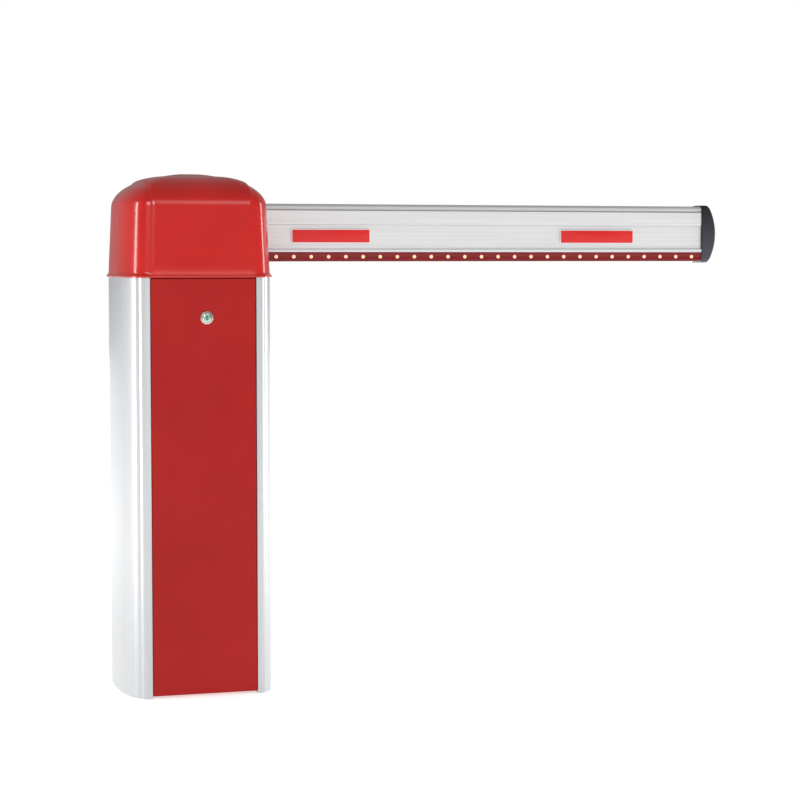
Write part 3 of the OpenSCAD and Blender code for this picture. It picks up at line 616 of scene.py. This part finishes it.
def bowedSide(count, bow, deep):
    # x = opening + bow |cos a|^(2/e), y = deep/2 sign(sin a) |sin a|^(2/e), a from -90 to 90
    a = np.radians(np.linspace(-90, 90, count))
    x = opening + bow * np.abs(np.cos(a)) ** (2 / planSquare)
    y = deep / 2 * np.sign(np.sin(a)) * np.abs(np.sin(a)) ** (2 / planSquare)
    return np.stack([x, y], 1)


hoodSettings = {
    "wall": 0.004,
    "lipOut": 0.004,          # how far the lip stands proud
    "lipHigh": 0.011,         # where its flare has run out
    "rimHigh": 0.003,
    "rimEdge": 0.001,         # rounding under the lip
    "draft": 0.006,           # how much the sides lean in up to the shoulder
    "shoulderIn": 0.095,      # how far the rounded shoulder runs in
    "shoulderHigh": 0.058,
    "shoulderSquare": 1.9,    # exponent of the shoulder's curve
    "crown": 0.006,
    "bandLift": 0.0034,       # the raised middle band
    "bandEdge": 0.005,
    "bandNarrow": 0.006,
    "sidePoints": 84,
    "frontPoints": 40,
    "rings": (9, 10, 28, 12),  # on the flare, the sides, the shoulder and the crown
    "notchHalf": 0.034,       # half width of the slot for the shaft
    "notchPoints": 33,
    "notchBelow": 0.02,       # how far the cutter starts below the rim
    "notchReach": 0.03,       # and how far it stands out of the wall
}


def hoodSurface(s):
    # point(u, v) = plan(u) drawn in by inset(v), at height(v), then lifted along its normal by
    # bandLift * smoothStep over the middle band; inset and height follow the lip, a straight
    # draft, a superellipse shoulder and a shallow crown
    side = bowedSide(s["sidePoints"], bowOut, depth)
    across = np.linspace(opening, -opening, s["frontPoints"] + 2)[1:-1]
    rear = np.stack([across, np.full_like(across, depth / 2)], 1)
    plan = np.concatenate([side, rear, -side, -rear])
    high = hoodTop - cabinetTop
    wallTop = high - s["crown"] - s["shoulderHigh"]
    lip, lipTop, rim = s["lipOut"], s["lipHigh"], s["rimEdge"]
    flareRings, sideRings, shoulderRings, crownRings = s["rings"]
    flare = np.linspace(0, 1, flareRings)
    up = np.linspace(0, 1, sideRings)
    turn = np.radians(np.linspace(0, 90, shoulderRings))
    e = 2 / s["shoulderSquare"]
    shoulderIn = s["draft"] + s["shoulderIn"] * (1 - np.cos(turn) ** e)
    shoulderUp = wallTop + s["shoulderHigh"] * np.sin(turn) ** e
    top = np.linspace(0, 1, crownRings)[1:-1]
    last = s["draft"] + s["shoulderIn"]
    reach = opening + bowOut
    profile = np.concatenate([
        [[-lip + 0.9 * rim, 0.0], [-lip + 0.2 * rim, 0.3 * rim], [-lip, rim]],
        np.stack([-lip * (1 - flare) ** 2, s["rimHigh"] + (lipTop - s["rimHigh"]) * flare], 1),
        np.stack([s["draft"] * up[1:-1], lipTop + (wallTop - lipTop) * up[1:-1]], 1),
        np.stack([shoulderIn, shoulderUp], 1),
        np.stack([last + (reach - last) * top, high - s["crown"] * (1 - top) ** 2], 1)])
    inset, rise = profile[:, 0, None], profile[:, 1, None]
    straight = np.minimum(inset, last)
    beyond = (inset - straight) / (reach - last)
    x = plan[None, :, 0] * (1 - inset / reach)
    y = plan[None, :, 1] * (1 - straight / (depth / 2) - beyond * (1 - last / (depth / 2)))
    p = np.stack([x, y, cabinetTop + rise + 0 * x], 2)
    normal = np.cross(np.roll(p, -1, 1) - np.roll(p, 1, 1), np.gradient(p, axis=0))
    normal /= np.maximum(np.linalg.norm(normal, axis=2, keepdims=True), 1e-12)
    bandHalf = opening - 0.001 - s["bandNarrow"] * rise / high
    inBand = smoothStep((bandHalf - np.abs(x)) / s["bandEdge"] + 0.5)
    inBand = inBand * smoothStep((rise - s["rimHigh"]) / (lipTop - s["rimHigh"]))
    lift = s["bandLift"] * inBand * (1 - np.clip(beyond, 0, 1) ** 8)
    return p + normal * lift[..., None]


def makeHood(s):
    p = hoodSurface(s)
    rings, count = p.shape[:2]
    lid = ((rings - 1) * count + np.arange(count)).tolist()
    quads = gridQuads(rings, count, closeCols=True).tolist()
    hood = makePiece("hoodShell", makeMesh("hoodShell", p, quads + [lid]), "red_hood", "cabinet", ["hood"])
    shell = hood.modifiers.new("wall", "SOLIDIFY")
    shell.thickness = s["wall"]
    shell.offset = -1
    # the slot runs from the rim up to a round top on the shaft's axis
    t = np.radians(np.linspace(0, 180, s["notchPoints"]))
    shaftZ = joints["boom_swing"]["pos_m"][2]
    half, below, out = s["notchHalf"], cabinetTop - s["notchBelow"], s["notchReach"]
    arch = half * np.stack([np.cos(t), np.sin(t)], 1) + [0, shaftZ]
    loop = np.concatenate([arch, [[-half, below], [half, below]]])
    ends = np.stack([np.stack([loop[:, 0], np.full(len(loop), y), loop[:, 1]], 1)
                     for y in (backY - out, backY + out)])
    cutAway(hood, "shaftSlot", *closedGrid(ends))


makeHood(hoodSettings)


columnSettings = {
    "wall": 0.003,
    "grooveOut": 0.0215,        # the groove's middle, measured from the opening
    "grooveDeep": 0.0018,
    "grooveWide": 0.0027,       # standard width of the groove's bell
    "points": 150,
    "pull": 9,                  # how much closer the points stand at the groove
    "pullWide": 0.006,
    "innerPoints": 60,
    "finePoints": 2000,         # first trace, before the points are shared out
    "sharp": 28,                # degrees from which an edge stays sharp
}
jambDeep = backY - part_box("post_rear_right")[0][1]


def columnOutline(s):
    # the bowed side, pushed in along its normal by deep * exp(-((x - middle) / wide)^2 / 2) near
    # each end, then back along the wall's inner side with a jamb flange at each end
    a = np.linspace(0, 1, s["points"])
    skin = bowedSide(s["finePoints"], bowOut, depth)
    run = np.concatenate([[0], np.cumsum(np.linalg.norm(np.diff(skin, axis=0), axis=1))])
    # closer points round the two grooves
    pull = 1 + s["pull"] * np.exp(-((skin[:, 0] - opening - s["grooveOut"]) / s["pullWide"]) ** 2 / 2)
    share = np.concatenate([[0], np.cumsum(np.diff(run) * pull[1:])])
    skin = np.stack([np.interp(a * share[-1], share, skin[:, k]) for k in (0, 1)], 1)
    along = np.gradient(skin, axis=0)
    inward = np.stack([-along[:, 1], along[:, 0]], 1) / np.linalg.norm(along, axis=1, keepdims=True)
    bell = np.exp(-((skin[:, 0] - opening - s["grooveOut"]) / s["grooveWide"]) ** 2 / 2)
    skin = skin + inward * (s["grooveDeep"] * bell)[:, None]
    w = s["wall"]
    inner = bowedSide(s["innerPoints"], bowOut - w, depth - 2 * w)[::-1]
    inner = inner[inner[:, 0] > opening + w + 0.001]
    jambs = np.array([[0, backY - jambDeep], [w, backY - jambDeep], [w, backY - w - 0.0006]])
    jambs = jambs + [opening, 0]
    return np.concatenate([skin, jambs, inner, (jambs * [1, -1])[::-1]])


def makeColumn(s, name, node, side):
    outline = columnOutline(s) * [side, 1]
    low, high = columnLow[2], columnHigh[2]
    rings = np.stack([np.column_stack([outline, np.full(len(outline), z)]) for z in (low, high)])
    piece = makePiece(name, makeMesh(name, *closedGrid(rings)), "column_aluminium", "cabinet", [node])
    sharpenEdges(piece.data, s["sharp"])


makeColumn(columnSettings, "columnRightExtrusion", "column_right", 1)
makeColumn(columnSettings, "columnLeftExtrusion", "column_left", -1)
print("columns ready")

traySettings = {
    "sheet": 0.0015,
    "bend": 0.003,           # outer radius of the folds
    "bendPoints": 7,
    "earHalf": 0.009,        # half width of each window in the door's lower fold
    "lockHole": 0.0095,      # radius
    "pinHalf": 0.0085,       # from a hinge pin's outer end to its middle
}


def foldedAcross(low, high, deep, bend, count, stops=()):
    # (place, depth) along one direction: up the near fold, round its bend, over the flat face,
    # round the far bend and down the far fold
    t = np.radians(np.linspace(0, 90, count))
    arc = np.stack([low + bend * (1 - np.cos(t)), bend * (1 - np.sin(t))], 1)
    flat = np.array(sorted([*stops, (low + high) / 2]))
    return np.concatenate([[[low, deep], [low, deep / 2]], arc, np.stack([flat, 0 * flat], 1),
                           (arc * [-1, 1] + [low + high, 0])[::-1], [[high, deep / 2], [high, deep]]])


def makeTray(s, name, node, body, facing):
    # tray(u, v) = (x u, face + depth u + depth v, z v), open where two folds would meet
    low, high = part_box(node)
    deep = high[1] - low[1]
    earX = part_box("hinge_pins")[1][0] - s["pinHalf"]
    ears = [-earX - s["earHalf"], -earX + s["earHalf"], earX - s["earHalf"], earX + s["earHalf"]]
    isDoor = facing < 0
    across = foldedAcross(low[0], high[0], deep, s["bend"], s["bendPoints"], ears if isDoor else ())
    upward = foldedAcross(low[2], high[2], deep, s["bend"], s["bendPoints"])
    face = low[1] if isDoor else high[1]
    x, z = np.meshgrid(across[:, 0], upward[:, 0], indexing="ij")
    y = face - facing * (across[:, 1][:, None] + upward[:, 1][None, :])
    quads = gridQuads(len(across), len(upward))
    sunkX = across[:, 1][quads // len(upward)].max(1)
    sunkZ = upward[:, 1][quads % len(upward)].max(1)
    keep = (sunkX <= s["bend"] + 1e-9) & (sunkZ <= s["bend"] + 1e-9)
    keep |= (sunkX <= 1e-9) | (sunkZ <= 1e-9)
    if isDoor:
        middle = across[:, 0][quads // len(upward)].mean(1)
        lower = upward[:, 0][quads % len(upward)].mean(1) < low[2] + 1e-6
        keep &= ~(lower & (np.abs(np.abs(middle) - earX) < s["earHalf"]))
    mesh = makeMesh(name, np.stack([x, y, z], 2), quads[keep])
    piece = makePiece(name, mesh, "red_powder_coat", body, [node])
    wall = piece.modifiers.new("sheet", "SOLIDIFY")
    wall.thickness = s["sheet"]
    wall.offset = -1
    if isDoor:
        lockX, _, lockZ = joints["lock_turn"]["pos_m"]
        r = s["lockHole"]
        hole = turned([[r, face - 0.01], [r, face + 0.01]], (lockX, 0, lockZ), (0, 1, 0))
        cutAway(piece, "lockHole", *closedGrid(hole))
    return piece


makeTray(traySettings, "doorPressing", "door_panel", "door", -1)
makeTray(traySettings, "backPressing", "back_panel", "cabinet", 1)
print("door and back panel ready")

boomSettings = {
    "wall": 0.0025,
    "corner": 0.008,
    "pocketDeep": 0.003,        # pocket of the LED strip
    "pocketHigh": 0.021,
    "lowerLip": 0.001,
    "ledgeHigh": 0.007,
    "topBand": 0.0145,          # height of the recessed band along the top
    "bandStep": 0.0011,
    "grooveDeep": 0.0022,       # groove along the band's lower edge
    "grooveWide": 0.0034,
    "midLine": 0.044,           # the fine groove, measured down from the top
    "lineWide": 0.0009,
    "lineDeep": 0.0006,
    "sharp": 24,                # degrees from which an edge stays sharp
}
ledgeOut = 0.002                # how far the ledge over the LED strip stands proud


def boomOutline(s, ledge):
    # closed outline in Y and Z, each corner (y, z, radius): from the lower front corner round
    # the pocket, up the front, over the top, down the back and along the bottom
    low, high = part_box("boom_profile")
    f, b, z0, z1 = low[1] + ledgeOut, high[1], low[2], high[2]
    d, h = s["pocketDeep"], s["pocketHigh"]
    band = z1 - s["topBand"]
    line, w, deep = z1 - s["midLine"], s["lineWide"], s["lineDeep"]
    step, groove, wide = s["bandStep"], s["grooveDeep"], s["grooveWide"]
    front = [
        (f, z0, 0.0004), (f, z0 + s["lowerLip"], 0.0002), (f + d, z0 + s["lowerLip"], 0.0002),
        (f + d, z0 + h, 0.0002), (f - ledge, z0 + h, 0.0002 + 0.2 * ledge),
        (f - ledge, z0 + h + s["ledgeHigh"], 0.0002 + 0.3 * ledge),
        (f, z0 + h + s["ledgeHigh"] + 0.0003, 0.0002),
        (f, line - w, 0.0002), (f + deep, line, 0.0002), (f, line + w, 0.0002),
        (f, band, 0.0003), (f + groove, band + 0.0004, 0.0003), (f + groove, band + wide - 0.0006, 0.0003),
        (f + step, band + wide, 0.0003), (f + 0.0004, z1 - s["corner"] * 0.62, 0.003),
        (f + 0.006, z1, 0.0058)]
    rear = [
        (b - 0.006, z1, 0.0058), (b - 0.0004, z1 - s["corner"] * 0.62, 0.003),
        (b - step, band + wide, 0.0003), (b - groove, band + wide - 0.0006, 0.0003),
        (b - groove, band + 0.0004, 0.0003), (b, band, 0.0003),
        (b, line + w, 0.0002), (b - deep, line, 0.0002), (b, line - w, 0.0002),
        (b, z0, s["corner"])]
    points = np.array(front + rear)
    return roundedOutline(points[:, :2], points[:, 2], arc=6)


def boomHollow(s):
    # the profile's inside: the outer box less the wall, stepped behind the pocket
    low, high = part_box("boom_profile")
    w = s["wall"]
    f, b, z0, z1 = low[1] + ledgeOut + w, high[1] - w, low[2] + w, high[2] - w
    shelf = z0 + s["pocketHigh"] + 0.001
    behind = f + s["pocketDeep"] + 0.001
    corners = [(behind, z0), (behind, shelf), (f, shelf), (f, z1), (b, z1), (b, z0)]
    return roundedOutline(corners, [0.001, 0.001, 0.001, 0.006, 0.006, 0.006], arc=6)


def makeBoom(s):
    low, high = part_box("boom_profile")
    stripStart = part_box("led_strip")[0][0]
    plain, ledged = boomOutline(s, 0.0), boomOutline(s, ledgeOut)
    hollow = boomHollow(s)
    outer = np.concatenate([alongX(plain, [low[0], stripStart]), alongX(ledged, [stripStart, high[0]])])
    inner = alongX(hollow, [low[0], high[0]])
    n, m = len(plain), len(hollow)
    faces = gridQuads(4, n, closeCols=True).tolist() + (gridQuads(2, m, closeCols=True) + 4 * n).tolist()
    for ring, shape, start, inside in ((0, plain, 0, 4 * n), (3, ledged, 3 * n, 4 * n + m)):
        loops = [[Vector((0, *q)) for q in shape], [Vector((0, *q)) for q in hollow]]
        fan = np.array(tessellate_polygon(loops))
        faces += np.where(fan < n, fan + start, fan - n + inside).tolist()
    points = np.concatenate([outer.reshape(-1, 3), inner.reshape(-1, 3)])
    piece = makePiece("boomExtrusion", makeMesh("boomExtrusion", points, faces), "boom_aluminium",
                      "boom_arm", ["boom_profile"])
    sharpenEdges(piece.data, s["sharp"])


makeBoom(boomSettings)

stripSettings = {"edge": 0.0012, "ribIn": 0.0032, "ribDeep": 0.0005, "channel": 0.0042, "crown": 0.0004}


def makeStrip(s):
    # outline in Y and Z: a crowned face with a rib line above and below the lamps' channel
    low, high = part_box("led_strip")
    f, b, z0, z1 = low[1], high[1], low[2] + 0.0001, high[2] - 0.0001
    mid = (z0 + z1) / 2
    rib, c, deep = s["ribIn"], s["channel"], s["ribDeep"]
    half = [(f + s["edge"], z0, 0.0006), (f, z0 + 0.0018, 0.0008), (f + deep * 0.1, z0 + rib, 0.0003),
            (f + deep, z0 + rib + 0.0006, 0.0003), (f - s["crown"], z0 + rib + 0.0014, 0.0003),
            (f - s["crown"], mid - c, 0.0003), (f + deep, mid - c + 0.0009, 0.0003)]
    mirrored = [(y, z0 + z1 - z, r) for y, z, r in half[::-1]]
    outline = np.array(half + mirrored + [(b, z1, 0.0004), (b, z0, 0.0004)])
    section = roundedOutline(outline[:, :2], outline[:, 2], arc=4)
    mesh = makeMesh("ledStripExtrusion", *closedGrid(alongX(section, [low[0], high[0]])))
    makePiece("ledStripExtrusion", mesh, "led_red", "boom_arm", ["led_strip"])


makeStrip(stripSettings)

lampSettings = {"pitch": 0.039, "segments": 28, "flange": 0.0004, "rings": 9}


def makeLamps(s):
    # each lamp: a flanged dome, r(t) = R cos t, h(t) = flange + H sin t, copied along X by its pitch
    low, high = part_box("led_lamps")
    radius = (high[2] - low[2]) / 2
    tall = high[1] - low[1]
    t = np.radians(np.linspace(0, 84, s["rings"]))
    dome = np.stack([0.86 * radius * np.cos(t), s["flange"] + (tall - s["flange"]) * np.sin(t)], 1)
    profile = np.concatenate([[[radius, 0], [radius, s["flange"] * 0.8], [0.95 * radius, s["flange"]]], dome])
    count = round((high[0] - low[0] - 2 * radius) / s["pitch"]) + 1
    one = turned(profile, (low[0] + radius, high[1], (low[2] + high[2]) / 2), (0, -1, 0), s["segments"])
    points, faces = closedGrid(one)
    shift = np.arange(count)[:, None, None] * np.array([s["pitch"], 0, 0])
    allFaces = [[v + k * len(points) for v in f] for k in range(count) for f in faces]
    mesh = makeMesh("ledLampDomes", points[None] + shift, allFaces)
    makePiece("ledLampDomes", mesh, "lamp_cream", "boom_arm", ["led_lamps"])


makeLamps(lampSettings)

reflectorSettings = {"corner": 0.0015, "border": 0.0012, "filmOut": 0.00035}
whiteFilm = whiteFilmEdge()


def makeReflector(s, name, node):
    # a backing plate and, a little proud of it, the red film inside its border
    low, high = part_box(node)
    for part, inset, front, material in (("Backing", 0.0, low[1], whiteFilm),
                                         ("Film", s["border"], low[1] - s["filmOut"], None)):
        corners = [(low[0] + inset, low[2] + inset), (high[0] - inset, low[2] + inset),
                   (high[0] - inset, high[2] - inset), (low[0] + inset, high[2] - inset)]
        outline = roundedOutline(corners, [s["corner"]] * 4)
        middle = outline.mean(0)
        steps = ((high[1], 0.0), (front + 0.0002, 0.0), (front, 0.0003))
        rings = np.stack([np.stack([o[:, 0], np.full(len(o), y), o[:, 1]], 1)
                          for y, draw in steps for o in [outline - np.sign(outline - middle) * draw]])
        makePiece(name + part, makeMesh(name + part, *closedGrid(rings)), "reflector_red", "boom_arm",
                  [node], material)


makeReflector(reflectorSettings, "reflectorNear", "reflector_near")
makeReflector(reflectorSettings, "reflectorFar", "reflector_far")
print("boom, strip, lamps and reflectors ready")

capSettings = {
    "corner": 0.0085,
    "bulge": 0.018,
    "edge": 0.0035,           # radius where the sides turn into the bulging face
    "grooveAt": 0.0022,
    "grooveDeep": 0.0007,
    "faceRings": 14,
    "edgeRings": 8,
    "points": 240,
}


def makeEndCap(s):
    # the rounded section, drawn in at the groove, then round the edge onto the bulging face:
    # face(z) = end - R + sqrt(R^2 - (z - middle)^2), which closes by scaling to its middle
    low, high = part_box("end_cap")
    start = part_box("boom_profile")[1][0]
    middle = np.array([(low[1] + high[1]) / 2, (low[2] + high[2]) / 2])
    halfHigh = (high[2] - low[2]) / 2
    radius = (halfHigh ** 2 + s["bulge"] ** 2) / (2 * s["bulge"])
    corners = [(low[1], low[2]), (high[1], low[2]), (high[1], high[2]), (low[1], high[2])]
    ring = roundedOutline(corners, [s["corner"]] * 4, arc=10)
    # extra points along the long sides carry the bulge
    closed = np.concatenate([ring, ring[:1]])
    run = np.concatenate([[0], np.cumsum(np.linalg.norm(np.diff(closed, axis=0), axis=1))])
    even = np.linspace(0, run[-1], s["points"], endpoint=False)
    ring = np.stack([np.interp(even, run, closed[:, k]) for k in (0, 1)], 1)
    outward = ring - middle
    edgeTurn = np.radians(np.linspace(0, 90, s["edgeRings"]))
    g, r = s["grooveAt"], s["edge"]
    # (drawn in, distance from the start)
    steps = [(0.0004, 0.0), (0, 0.0004), (0, g - 0.0006), (s["grooveDeep"], g), (0, g + 0.0006)]
    rings = [np.column_stack([np.full(len(ring), start + x), ring - np.sign(outward) * inset])
             for inset, x in steps]

    def faceX(z):
        return high[0] - radius + np.sqrt(radius ** 2 - (z - middle[1]) ** 2)

    for turn in edgeTurn:
        q = ring - np.sign(outward) * r * (1 - np.cos(turn))
        rings.append(np.column_stack([faceX(q[:, 1]) - r * (1 - np.sin(turn)), q]))
    last = rings[-1][:, 1:] - middle
    for share in np.linspace(1, 0.02, s["faceRings"])[1:]:
        q = middle + last * share
        rings.append(np.column_stack([faceX(q[:, 1]), q]))
    makePiece("endCapMoulding", makeMesh("endCapMoulding", *closedGrid(np.stack(rings))), "cap_charcoal",
              "boom_arm", ["end_cap"])


makeEndCap(capSettings)

lockSettings = {
    "dish": 0.0007,
    "dishIn": 0.003,          # from the rim to the dished face
    "chamfer": 0.0008,
    "plugRadius": 0.0066,
    "barrelRadius": 0.0094,
    "segments": 64,
}


def makeLockRing(s):
    # closed loop of (radius, distance from the face) revolved about the lock's axis
    low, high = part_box("lock_barrel")
    ringRadius = (high[0] - low[0]) / 2
    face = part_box("door_panel")[0][1]
    tall, deep = face - low[1], face - high[1]
    c, p = s["chamfer"], s["plugRadius"]
    t = np.radians(np.linspace(0, 90, 6))
    rim = np.stack([ringRadius - c * (1 - np.cos(t)), tall - c * (1 - np.sin(t))], 1)
    step, dish = ringRadius - s["dishIn"], tall - s["dish"]
    dished = [[step, tall], [step - 0.0006, dish], [p + 0.0012, dish], [p, tall - 0.3 * s["dish"]]]
    bore = [[p, deep], [s["barrelRadius"], deep], [s["barrelRadius"], 0.0]]
    loop = np.concatenate([[[ringRadius, 0.0]], rim, dished, bore])
    lockX, _, lockZ = joints["lock_turn"]["pos_m"]
    rings = turned(loop, (lockX, face, lockZ), (0, -1, 0), s["segments"])
    faces = gridQuads(len(loop), s["segments"], closeRows=True, closeCols=True)
    makePiece("lockRingTurning", makeMesh("lockRingTurning", rings, faces), "nickel", "door", ["lock_barrel"])


makeLockRing(lockSettings)

springSettings = {"wire": 0.005, "pitch": 0.0072, "sides": 12, "perTurn": 26, "keep": 0.811}


def makeSpring(s):
    # centre line (R cos t, R sin t, z0 + rise(t)), whose pitch eases to the wire's own width over the
    # last turn at each end; the wire's ring is w (cos f * radial + sin f * across)
    low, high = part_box("balance_spring")
    wire = s["wire"] / 2
    radius = (high[0] - low[0]) / 2 - wire
    tall = high[2] - low[2] - 2 * wire
    turns = round((tall - 2 * s["wire"]) / s["pitch"]) + 2
    t = np.linspace(0, turns, turns * s["perTurn"] + 1)
    slope = s["wire"] + (s["pitch"] - s["wire"]) * smoothStep(np.minimum(t, turns - t) - 0.5)
    rise = np.concatenate([[0], np.cumsum((slope[1:] + slope[:-1]) / 2 * np.diff(t))])
    rise *= tall / rise[-1]
    angle = 2 * np.pi * t
    radial = np.stack([np.cos(angle), np.sin(angle), 0 * angle], 1)
    centre = np.array([(low[0] + high[0]) / 2, (low[1] + high[1]) / 2, low[2] + wire])
    line = centre + radius * radial + np.stack([0 * rise, 0 * rise, rise], 1)
    tangent = np.gradient(line, axis=0)
    tangent /= np.linalg.norm(tangent, axis=1, keepdims=True)
    across = np.cross(tangent, radial)
    f = np.linspace(0, 2 * np.pi, s["sides"], endpoint=False)
    rings = line[:, None] + wire * (np.cos(f)[None, :, None] * radial[:, None]
                                    + np.sin(f)[None, :, None] * across[:, None])
    spring = makePiece("balanceCoil", makeMesh("balanceCoil", *closedGrid(rings)), "spring_steel", "cabinet",
                       ["balance_spring"])
    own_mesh(spring)


makeSpring(springSettings)
print("end cap, lock ring and spring ready")

edgeWidths = {                           # millimetres of rounding on each finish's edges
    "cast_iron_paint": 1.2, "drive_blue": 1.0, "dark_painted_steel": 0.6, "grey_plastic": 0.8,
    "black_plastic": 0.6, "black_rubber": 0.8, "turned_steel": 0.5, "nickel": 0.3, "board_green": 0.25,
}
plainEdge = 0.5                          # on every other finish
ownFinish = {"lock_plug": mintLockShutter()}


def finishNode(node):
    # the node's own shape with its doubles merged, its flat faces joined and its edges rounded
    slotName = slotOfNode[node]
    mesh = frame["nodes"][node].data.copy()
    tidyFaces(mesh, merge=2e-6, flatten=True)
    piece = makePiece(node + "Finished", mesh, slotName, bodyOfNode[node], [node], ownFinish.get(node))
    addBevel(piece, edgeWidths.get(slotName, plainEdge))


shaped = {"hood", "column_left", "column_right", "door_panel", "back_panel", "boom_profile", "led_strip",
          "led_lamps", "reflector_near", "reflector_far", "end_cap", "lock_barrel", "balance_spring"}
for node in sorted(set(frame["nodes"]) - shaped):
    finishNode(node)
print("mechanism ready:", len(frame["nodes"]) - len(shaped), "pieces")
